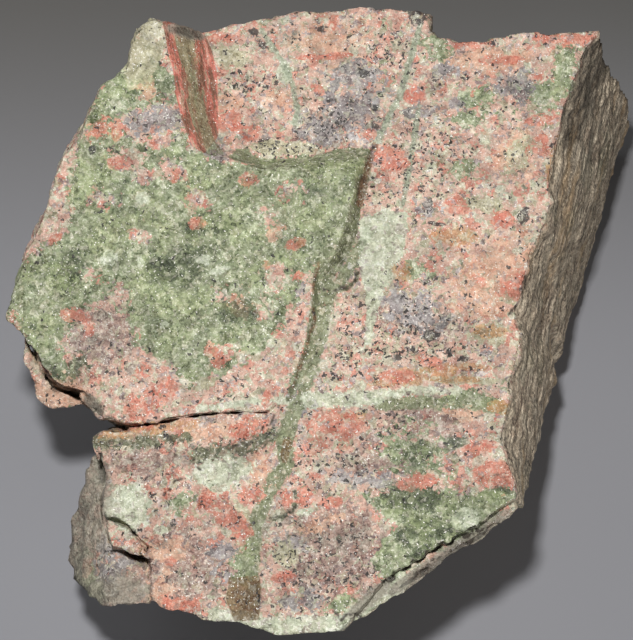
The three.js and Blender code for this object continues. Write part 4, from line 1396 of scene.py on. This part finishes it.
@dataclass(frozen=True)
class StoneFinish:
    """The unakite's grains, crust and shine, with painted glints and painted shade in its pits and
    hollows.

    A pair that is a pattern holds its spacing in millimetres and its detail. A ramp holds the
    two limits of a smooth step and its results there, which are 0 and 1 where they are left out.

    Args:
        coarse: Size of the large crystals in millimetres.
        fine: Size of the small crystals.
        sugar: Size of the smallest grains.
        speck_spacing: Spacing of the dark specks.
        warp_rate: How many bends a crystal's edge has in a millimetre.
        warp_detail: How fine the smaller bends on them are.
        warp_reach: How far the edges are bent, in millimetres.
        cloud_pattern: The wide, soft variation.
        blotch_pattern: The variation from crystal to crystal.
        grit_pattern: The finest variation.
        mottle_start: The mottle before its patterns are added.
        mottle_shares: What the smallest grains, small crystals, cloud and blotch add to it.
        crystal_shares: What small crystals, large ones and smallest grains add to a crystal.
        ragged_step: How far outside and inside its outline a mineral comes and is whole.
        hole_step: Which random numbers of a small crystal leave a hole in a mineral.
        lush_epidote: Where in the epidote the fresh green shows.
        lush_mottle: For which mottle it shows.
        pepper_step: How many specks there are outside and inside the peppered patches.
        calm_step: How many of them are left in the green minerals.
        speck_size: From the smallest to the largest speck, as a share of their spacing.
        speck_grit: How uneven a speck's edge is.
        speck_cover: How dark a speck is.
        streak_length: How much shorter the red wall's streaks are measured along than across.
        streak_pattern: Those streaks.
        wall_cover: How far outside and inside the red wall its colour comes and is whole.
        olive_reach: How ragged the wall's olive strip is, in millimetres.
        olive_cover: How far outside and inside that strip its colour comes and is whole.
        run_length: How much shorter the weathered side's streaks are measured along than across.
        run_pattern: Those streaks.
        crumb_pattern: The small crumbs between them.
        run_shares: How much the streaks and the crumbs add to the crust's tone.
        soft_step: The smooth step that spreads noise over all tones.
        split_length: The same as the run's length, for the thin dark splits.
        split_pattern: The splits.
        split_step: How far from a split's middle its colour ends.
        crust_cover: How much of the stone the crust hides.
        side_step: The depths where the broken sides' dull colour starts and is whole.
        patch_pattern: The dull patches on those sides.
        patch_step: How dull they are.
        dull_reach: How ragged the edge of a dull patch is, in millimetres.
        dull_cover: How far outside and inside a dull patch its colour comes and is whole.
        dull_pattern: The dull colour's own variation.
        dull_shares: How much that variation and the smallest grains add to its tone.
        grit_shade: How dark and light the grit makes the stone.
        blotch_shade: The same for the blotch.
        pit_painted_shade: The same for the relief's pits and bumps: painted shade darkens the pits.
        painted_shade_step: The same outside and inside the patches of painted shade.
        crack_cover: How dark a crack is for its depth.
        bump_shares: What the smallest grains, small crystals and grit add to the small bumps.
        bump_strength: How strong those bumps are.
        facet_tilts: How far small crystals and smallest grains lean away from the surface.
        glassy_pick: The random number above which a smallest grain is glassy.
        dullness: The roughness of plain stone.
        dullness_shares: What a crystal's own number, glass and weathering add to it.
        shine: How much a smooth grain reflects.
    """

    coarse: float = 2.6
    fine: float = 1.1
    sugar: float = 0.5
    speck_spacing: float = 1.15
    warp_rate: float = 0.7
    warp_detail: float = 3.0
    warp_reach: float = 3.2
    cloud_pattern: Pair = (7.0, 3.0)
    blotch_pattern: Pair = (2.0, 2.0)
    grit_pattern: Pair = (0.6, 2.0)
    mottle_start: float = -0.78
    mottle_shares: tuple[float, ...] = (0.4, 0.45, 0.8, 0.9)
    crystal_shares: tuple[float, ...] = (0.4, 0.4, 0.2)
    ragged_step: Pair = (-0.3, 0.3)
    hole_step: Pair = (0.8, 0.86)
    lush_epidote: Pair = (-0.5, 1.0)
    lush_mottle: Pair = (0.2, 0.5)
    pepper_step: Ramp = (-2.0, 2.0, 0.16, 0.92)
    calm_step: Ramp = (-0.5, 0.5, 1.0, 0.25)
    speck_size: Ramp = (0.0, 1.0, 0.18, 0.45)
    speck_grit: float = 0.4
    speck_cover: float = 0.93
    streak_length: float = 0.07
    streak_pattern: Pair = (1.3, 3.0)
    wall_cover: Ramp = (-0.2, 0.3, 0.0, 0.92)
    olive_reach: float = 3.0
    olive_cover: Ramp = (-0.8, 1.2, 0.0, 0.8)
    run_length: float = 0.16
    run_pattern: Pair = (1.4, 4.0)
    crumb_pattern: Pair = (0.8, 3.0)
    run_shares: Pair = (0.6, 0.4)
    soft_step: Pair = (0.34, 0.66)
    split_length: float = 0.06
    split_pattern: Pair = (3.2, 3.0)
    split_step: Ramp = (0.004, 0.024, 0.6, 0.0)
    crust_cover: float = 0.93
    side_step: Pair = (3.0, 12.0)
    patch_pattern: Pair = (14.0, 4.0)
    patch_step: Ramp = (0.38, 0.66, 0.25, 0.9)
    dull_reach: float = 3.0
    dull_cover: Ramp = (-1.0, 1.0, 0.0, 0.85)
    dull_pattern: Pair = (1.2, 3.0)
    dull_shares: Pair = (0.7, 0.3)
    grit_shade: Ramp = (0.3, 0.7, 0.88, 1.12)
    blotch_shade: Ramp = (0.34, 0.66, 0.86, 1.14)
    # Painted shade in the relief's pits, a little lighter on its bumps.
    pit_painted_shade: Ramp = (-1.2, 0.2, 0.7, 1.04)
    # Painted shade where the darkened patches lie.
    painted_shade_step: Ramp = (-0.8, 1.0, 1.0, 0.5)
    crack_cover: Ramp = (0.05, 0.35, 0.0, 0.9)
    bump_shares: tuple[float, ...] = (-0.12, -0.25, 0.3)
    bump_strength: float = 0.9
    facet_tilts: Pair = (0.45, 0.35)
    glassy_pick: float = 0.8
    dullness: float = 0.55
    dullness_shares: tuple[float, ...] = (0.25, -0.3, 0.2)
    shine: float = 0.5

    def ragged_group(self) -> bpy.types.NodeTree:
        """Builds the group that makes a mineral's edge follow whole grains.

        Returns:
            The group, with named inputs for the mineral's edge and its patterns.
        """
        tree = bpy.data.node_groups.new("ragged_edge", "ShaderNodeTree")
        steps = (("Coarse Pick", "Coarse Reach"), ("Fine Pick", "Fine Reach"), ("Blur", "Blur Reach"))
        names = [name for pair in steps for name in pair]
        names = ("Inside", *names, "Hole Pick", "Hole Share", "Share")
        for name in names:
            tree.interface.new_socket(name, in_out="INPUT", socket_type="NodeSocketFloat")
        tree.interface.new_socket("Mask", in_out="OUTPUT", socket_type="NodeSocketFloat")
        desk = Desk(tree)
        given = desk.add("NodeGroupInput").outputs
        total = given["Inside"]
        for pick, reach in steps:
            step = desk.number("SUBTRACT", given[pick], 0.5)
            total = desk.number("ADD", total, desk.product(step, given[reach]))
        mask = desk.ramp(total, *self.ragged_step)
        holes = desk.ramp(given["Hole Pick"], *self.hole_step, 1.0, given["Hole Share"])
        desk.add("NodeGroupOutput", {0: desk.product(mask, holes, given["Share"])})
        return tree

    def patterns(self, desk: Desk) -> Patterns:
        """Builds the patterns that the finish shares.

        Args:
            desk: The material's desk.

        Returns:
            The patterns.
        """
        def picks(cells: bpy.types.Node) -> bpy.types.bpy_prop_collection:
            """Three random numbers for each cell."""
            return desk.add("ShaderNodeSeparateColor", {0: cells.outputs["Color"]}).outputs

        place = desk.scaled(desk.add("ShaderNodeTexCoord").outputs["Object"], 1 / MM)
        inputs = {"Vector": place, "Scale": self.warp_rate, "Detail": self.warp_detail}
        warp = desk.add("ShaderNodeTexNoise", inputs)
        bent = desk.vector("ADD", place, desk.centred(warp, self.warp_reach))
        fine = desk.cells(bent, self.fine)
        sugar = desk.cells(place, self.sugar)
        specks = desk.cells(bent, self.speck_spacing)
        coarse_picks = picks(desk.cells(bent, self.coarse))
        fine_picks, sugar_picks, speck_picks = picks(fine), picks(sugar), picks(specks)
        cloud = desk.noise(place, *self.cloud_pattern)
        blotch = desk.noise(bent, *self.blotch_pattern)
        parts = (sugar_picks[0], fine_picks[1], cloud, blotch)
        mottle = desk.weighed(self.mottle_start, *zip(parts, self.mottle_shares))
        parts = (fine_picks[0], coarse_picks[0], sugar_picks[1])
        return Patterns(
            place=place,
            bent=bent,
            fine=fine,
            sugar=sugar,
            specks=specks,
            coarse_picks=coarse_picks,
            fine_picks=fine_picks,
            sugar_picks=sugar_picks,
            speck_picks=speck_picks,
            cloud=cloud,
            blotch=blotch,
            grit=desk.noise(place, *self.grit_pattern),
            mottle=mottle,
            crystal=desk.weighed(0.0, *zip(parts, self.crystal_shares)),
        )

    def minerals(self, desk: Desk, made: Patterns) -> Socket:
        """The pink ground with its grains and the outlined minerals.

        Args:
            desk: The material's desk.
            made: The shared patterns.

        Returns:
            The colour.
        """
        surface = PINK.mixed(desk, made.crystal)
        for grain in GRAINS:
            picks = made.coarse_picks if grain.coarse else made.fine_picks
            shown = desk.ramp(picks[grain.channel], *grain.shown)
            surface = desk.blend(shown, surface, grain.tones.mixed(desk, made.mottle))
        ragged = self.ragged_group()
        wobble = desk.product(desk.number("ADD", made.cloud, made.blotch), 0.5)
        for coat in COATS:
            inputs = {
                "Inside": mask_of(desk, coat.mineral.value),
                "Coarse Pick": made.coarse_picks[coat.channel],
                "Fine Pick": made.fine_picks[coat.channel],
                "Blur": wobble,
                "Coarse Reach": coat.coarse_reach,
                "Fine Reach": coat.fine_reach,
                "Blur Reach": coat.blur_reach,
                "Hole Pick": made.fine_picks[(coat.channel + 1) % 3],
                "Hole Share": coat.hole_share,
                "Share": coat.share,
            }
            shown = desk.group(ragged, inputs)
            pick = made.crystal if coat.by_crystal else made.mottle
            surface = desk.blend(shown, surface, coat.tones.mixed(desk, pick))
        return surface

    def tinted(self, desk: Desk, made: Patterns, surface: Socket) -> Socket:
        """The minerals with pale frost, fresh green and dark specks over them.

        Args:
            desk: The material's desk.
            made: The shared patterns.
            surface: The colour so far.

        Returns:
            The new colour.
        """
        surface = FROST.over(desk, FROST.share(desk, made.bent), surface)
        greens = desk.ramp(mask_of(desk, "epidote"), *self.lush_epidote)
        lush = desk.product(
            LUSH.share(desk, made.place), greens, desk.ramp(made.mottle, *self.lush_mottle)
        )
        surface = LUSH.over(desk, lush, surface)

        pepper = desk.ramp(mask_of(desk, "pepper"), *self.pepper_step)
        calm = desk.number("MAXIMUM", mask_of(desk, "epidote"), mask_of(desk, "mint"))
        calm = desk.number("MAXIMUM", calm, mask_of(desk, "sage"))
        rate = desk.product(pepper, desk.ramp(calm, *self.calm_step))
        chosen = desk.number("LESS_THAN", made.speck_picks[1], rate)
        size = desk.ramp(made.speck_picks[0], *self.speck_size)
        size = desk.number("SUBTRACT", size, self.speck_grit / 2)
        size = desk.weighed(size, (made.grit, self.speck_grit))
        speck = desk.number("LESS_THAN", made.specks.outputs["Distance"], size)
        speck = desk.product(speck, chosen, self.speck_cover)
        return desk.blend(speck, surface, DARK.mixed(desk, made.mottle))

    def walled(self, desk: Desk, made: Patterns, way: Way, surface: Socket) -> Socket:
        """The surface with the plate's red wall and its olive strip over it.

        Args:
            desk: The material's desk.
            made: The shared patterns.
            way: The direction that the wall's streaks run in.
            surface: The colour so far.

        Returns:
            The new colour.
        """
        streak = desk.noise(desk.along(made.place, way, self.streak_length), *self.streak_pattern)
        streak = desk.ramp(streak, *self.soft_step)
        wall = desk.ramp(mask_of(desk, "red_wall"), *self.wall_cover)
        surface = desk.blend(wall, surface, RED_WALL.mixed(desk, streak))
        olive = desk.number("SUBTRACT", desk.number("ADD", streak, made.blotch), 1.0)
        olive = desk.weighed(mask_of(desk, "wall_olive"), (olive, self.olive_reach))
        olive = desk.ramp(olive, *self.olive_cover)
        return desk.blend(olive, surface, SAGE.mixed(desk, made.mottle))

    def crust(self, desk: Desk, made: Patterns, way: Way) -> Socket:
        """The weathered side's own colour, in streaks along its ridges.

        Args:
            desk: The material's desk.
            made: The shared patterns.
            way: The direction that the ridges run in.

        Returns:
            The colour.
        """
        run = desk.along(made.place, way, self.run_length)
        parts = (desk.noise(run, *self.run_pattern), desk.noise(made.place, *self.crumb_pattern))
        tone = desk.weighed(0.0, *zip(parts, self.run_shares))
        crust = CRUST.mixed(desk, desk.ramp(tone, *self.soft_step))
        crust = TAN.over(desk, TAN.share(desk, run), crust)
        split = desk.noise(desk.along(made.place, way, self.split_length), *self.split_pattern)
        split = desk.number("ABSOLUTE", desk.number("SUBTRACT", split, 0.5))
        return desk.blend(desk.ramp(split, *self.split_step), crust, colour(*SPLIT_TONE))

    def dull_share(self, desk: Desk, made: Patterns, fresh: Socket) -> Socket:
        """How much of the dull grey shows: in its patches, and on the fresh broken sides.

        Args:
            desk: The material's desk.
            made: The shared patterns.
            fresh: What the weathered side leaves of the surface.

        Returns:
            The share, from 0 to 1.
        """
        patchy = desk.ramp(desk.noise(made.place, *self.patch_pattern), *self.patch_step)
        side = desk.ramp(mask_of(desk, "depth"), *self.side_step)
        side_share = desk.product(side, patchy, fresh)
        ragged = desk.number("SUBTRACT", made.cloud, 0.5)
        dull = desk.weighed(mask_of(desk, "grey"), (ragged, self.dull_reach))
        return desk.number("MAXIMUM", desk.ramp(dull, *self.dull_cover), side_share)

    def shaded(self, desk: Desk, made: Patterns, surface: Socket) -> Socket:
        """The surface's colour, lighter and darker by its patterns, with painted shade in the
        relief's pits and the darkened patches, and the cracks' dark lines.

        Args:
            desk: The material's desk.
            made: The shared patterns.
            surface: The colour so far.

        Returns:
            The new colour.
        """
        # Grit and blotch are the stone's own tone; the relief's pits and the darkened patches get
        # painted shade.
        tone = desk.product(
            desk.ramp(made.grit, *self.grit_shade),
            desk.ramp(made.blotch, *self.blotch_shade),
            desk.ramp(mask_of(desk, "relief"), *self.pit_painted_shade),
            desk.ramp(mask_of(desk, "painted_shade"), *self.painted_shade_step),
        )
        surface = desk.scaled(surface, tone)
        crack = desk.ramp(mask_of(desk, "crack"), *self.crack_cover)
        return desk.blend(crack, surface, colour(*CRACK_TONE))

    def normal(self, desk: Desk, made: Patterns, fresh: Socket) -> Socket:
        """The surface's direction, with small bumps and leaning grains.

        Args:
            desk: The material's desk.
            made: The shared patterns.
            fresh: What the weathered side leaves of the surface.

        Returns:
            The direction.
        """
        parts = (made.sugar.outputs["Distance"], made.fine.outputs["Distance"], made.grit)
        height = desk.weighed(0.0, *zip(parts, self.bump_shares))
        inputs = {"Height": height, "Strength": self.bump_strength, "Distance": MM}
        bump = desk.add("ShaderNodeBump", inputs).outputs[0]
        fine_tilt, sugar_tilt = self.facet_tilts
        leaning = (desk.centred(made.fine, fine_tilt), desk.centred(made.sugar, sugar_tilt))
        facet = desk.scaled(desk.vector("ADD", *leaning), fresh)
        return desk.vector("NORMALIZE", desk.vector("ADD", bump, facet))

    def material(self, sight: SightFrame) -> bpy.types.Material:
        """Builds the stone's material.

        Args:
            sight: Gives the directions of the weathered side and the red wall.

        Returns:
            The material.
        """
        material = bpy.data.materials.new("unakite_stone")
        material.use_nodes = True
        tree = material.node_tree
        tree.nodes.clear()
        desk = Desk(tree)
        made = self.patterns(desk)
        weathered = mask_of(desk, "bark")
        fresh = desk.rest(weathered)

        surface = self.tinted(desk, made, self.minerals(desk, made))
        surface = self.walled(desk, made, sight.scratch_way, surface)
        crust = self.crust(desk, made, sight.bark_way)
        surface = desk.blend(desk.product(weathered, self.crust_cover), surface, crust)
        dull = self.dull_share(desk, made, fresh)
        parts = (desk.noise(made.place, *self.dull_pattern), made.sugar_picks[0])
        dull_tone = desk.weighed(0.0, *zip(parts, self.dull_shares))
        surface = desk.blend(dull, surface, GREY.mixed(desk, dull_tone))
        # Painted highlight: whitish glints over the fresh, undulled stone, which are also made
        # glossy.
        painted_glint = desk.product(PAINTED_GLINT.share(desk, made.place), fresh, desk.rest(dull))
        surface = self.shaded(desk, made, PAINTED_GLINT.over(desk, painted_glint, surface))

        glassy = desk.number("GREATER_THAN", made.sugar_picks[1], self.glassy_pick)
        glassy = desk.number("MAXIMUM", glassy, painted_glint)
        parts = (made.fine_picks[0], glassy, weathered)
        rough = desk.weighed(self.dullness, *zip(parts, self.dullness_shares))
        inputs = {
            "Base Color": surface,
            "Roughness": desk.number("MINIMUM", rough, 1.0),
            "Normal": self.normal(desk, made, fresh),
            "Specular IOR Level": self.shine,
        }
        shader = desk.add("ShaderNodeBsdfPrincipled", inputs)
        desk.add("ShaderNodeOutputMaterial", {"Surface": shader.outputs[0]})
        return material


@dataclass
class Stone:
    """The unakite block.

    Args:
        sight: The frame that its patches are placed in.
        relief: Its broken relief.
        finish: Its minerals.
        face_edge: The longest edge of its mesh on the face, in millimetres.
        side_edge: The same on the sides.
        base_edge: The same on the flat underside.
        side_depth: The depths where the sides' edges start and are whole.
        right_turn: How far a surface turns to the right before its mesh is fine, and wholly so.
        right_share: How much of the face's fineness the right side gets.
        base_height: Up to which height the mesh is as coarse as the underside's.
        merge_distance: How near two of the frame's points are to be one, in metres.
        soft_rounds: How many times the facets are rounded.
        crease_degrees: Edges that turn more than this stay sharp.
    """

    sight: SightFrame
    relief: Relief = Relief()
    finish: StoneFinish = StoneFinish()
    face_edge: float = 1.2
    side_edge: float = 2.4
    base_edge: float = 4.0
    side_depth: Pair = (6.0, 18.0)
    right_turn: Pair = (0.35, 0.6)
    right_share: float = 0.8
    base_height: float = 0.5
    merge_distance: float = 1e-5
    soft_rounds: int = 8
    crease_degrees: float = 34.0

    def limits(self, surface: FineMesh, minerals: MineralMap) -> np.ndarray:
        """The longest edge wanted at each point.

        Args:
            surface: The mesh so far.
            minerals: Gives the depth below the broad face.

        Returns:
            The lengths in millimetres.
        """
        depth = minerals.depth_of(surface.points)
        side = smooth(depth, *self.side_depth)
        limits = self.face_edge + (self.side_edge - self.face_edge) * side
        right = smooth(surface.normals()[:, 0], *self.right_turn)
        limits = limits + (self.face_edge - limits) * right * self.right_share
        low = surface.points[:, 2] < self.base_height
        return np.where(low, self.base_edge, limits)

    def build(self) -> bpy.types.Object:
        """Builds and dresses the stone.

        Returns:
            The finished piece.
        """
        surface = FineMesh.copied(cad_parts[STONE_NODE], self.merge_distance)
        minerals = MineralMap(self.sight)
        while surface.split_once(self.limits(surface, minerals)):
            pass
        surface.soften(self.soft_rounds, self.crease_degrees)
        attributes = minerals.attributes(surface.points, surface.normals())
        piece = surface.as_object("unakite_stone", attributes)
        tree = self.relief.tree(self.sight)
        self.relief.applied(piece, tree, self.finish.material(self.sight))
        self.keep_in_box(piece)
        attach(piece, "root")
        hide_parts(STONE_NODE)
        log.info("%s has %d triangles", piece.name, len(piece.data.polygons))
        return piece

    @staticmethod
    def keep_in_box(piece: bpy.types.Object) -> None:
        """Moves points that stand out of the stone's own box back onto it.

        Args:
            piece: The finished stone.
        """
        low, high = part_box(STONE_NODE)
        places = np.zeros(len(piece.data.vertices) * 3)
        piece.data.vertices.foreach_get("co", places)
        places = np.clip(places.reshape(-1, 3), np.array(low), np.array(high))
        piece.data.vertices.foreach_set("co", places.ravel())
        piece.data.update()


@dataclass(frozen=True)
class Lamp:
    """A square lamp, aimed at the stone.

    Args:
        name: Its name.
        place: Where it is in the sight frame, in millimetres across, up and near.
        size: Its side in metres.
        power: Its power in watts.
    """

    name: str
    place: tuple[float, float, float]
    size: float
    power: float


LAMPS = (
    Lamp("key", (-35, 125, 465), 0.035, 2.6),
    Lamp("fill", (340, -240, 200), 0.35, 0.7),
    Lamp("back", (-260, 330, 60), 0.35, 0.45),
)


@dataclass
class Studio:
    """A plain floor, darker towards the back by painted shade, soft light and the camera.

    Args:
        sight: Gives the camera's place and view.
        floor_size: The floor's side in metres.
        floor_front: The floor's tone in front of the stone.
        floor_far_painted_shade: Its tone far behind the stone, darkened as painted shade where the
            light falls off.
        floor_shade_span: Where it changes, in metres towards the back.
        floor_roughness: How dull the floor is.
        sensor: The camera's sensor height in millimetres.
        near_limit: The nearest distance that the camera sees, in metres.
        sky_strength: How bright the soft light from all sides is.
    """

    sight: SightFrame
    floor_size: float = 6.0
    floor_front: tuple[float, float, float] = (137, 137, 141)
    floor_far_painted_shade: tuple[float, float, float] = (88, 86, 82)
    floor_shade_span: Pair = (0.0, 0.17)
    floor_roughness: float = 0.8
    sensor: float = 24.0
    near_limit: float = 0.01
    sky_strength: float = 0.07

    def floor(self) -> bpy.types.Object:
        """Makes the floor, darker towards the back by painted shade.

        Returns:
            The floor.
        """
        half = self.floor_size / 2
        corners = [(-half, -half, 0), (half, -half, 0), (half, half, 0), (-half, half, 0)]
        mesh = bpy.data.meshes.new("floor")
        mesh.from_pydata(corners, [], [(0, 1, 2, 3)])
        floor = bpy.data.objects.new("floor", mesh)
        bpy.context.scene.collection.objects.link(floor)
        material = bpy.data.materials.new("pale_floor")
        material.use_nodes = True
        shader = material.node_tree.nodes["Principled BSDF"]
        desk = Desk(material.node_tree)
        place = desk.add("ShaderNodeTexCoord").outputs["Object"]
        back = desk.add("ShaderNodeSeparateXYZ", {0: place}).outputs[1]
        # Painted shade: the floor darkens towards the back, standing in for the light falling off.
        far = desk.ramp(back, *self.floor_shade_span)
        tone = desk.blend(far, colour(*self.floor_front), colour(*self.floor_far_painted_shade))
        material.node_tree.links.new(tone, shader.inputs["Base Color"])
        shader.inputs["Roughness"].default_value = self.floor_roughness
        mesh.materials.append(material)
        return floor

    def camera(self) -> bpy.types.Object:
        """Makes the camera, which looks along the middle sight line.

        Returns:
            The camera.
        """
        data = bpy.data.cameras.new("camera")
        data.sensor_fit = "VERTICAL"
        data.sensor_height = self.sensor
        data.lens = self.sensor * self.sight.distance / self.sight.picture_height
        data.clip_start = self.near_limit
        camera = bpy.data.objects.new("camera", data)
        camera.location = self.sight.place(0, 0, self.sight.distance) * MM
        camera.rotation_euler = (math.radians(90) - self.sight.elevation, 0, 0)
        bpy.context.scene.collection.objects.link(camera)
        bpy.context.scene.camera = camera
        return camera

    def light(self, lamp: Lamp) -> bpy.types.Object:
        """Adds a lamp.

        Args:
            lamp: Its place, size and power.

        Returns:
            The lamp's object.
        """
        data = bpy.data.lights.new(lamp.name, "AREA")
        data.size = lamp.size
        data.energy = lamp.power
        light = bpy.data.objects.new(lamp.name, data)
        place = np.array(self.sight.centre) + np.array(lamp.place) @ self.sight.axes
        light.location = place * MM
        towards = Vector(self.sight.centre) * MM - light.location
        light.rotation_euler = towards.to_track_quat("-Z", "Y").to_euler()
        bpy.context.scene.collection.objects.link(light)
        return light

    def build(self) -> None:
        """Builds the floor, the light and the camera."""
        self.camera()
        self.floor()
        for lamp in LAMPS:
            self.light(lamp)
        world = bpy.data.worlds.new("soft_sky")
        world.use_nodes = True
        sky = world.node_tree.nodes["Background"].inputs
        sky["Color"].default_value = (1, 1, 1, 1)
        sky["Strength"].default_value = self.sky_strength
        bpy.context.scene.world = world
        bpy.context.scene.view_settings.view_transform = "Standard"


def main() -> None:
    """Builds the studio and the stone."""
    logging.basicConfig(level=logging.INFO, format="%(message)s")
    sight = SightFrame()
    Studio(sight).build()
    Stone(sight).build()


if __name__ == "__main__":
    main()
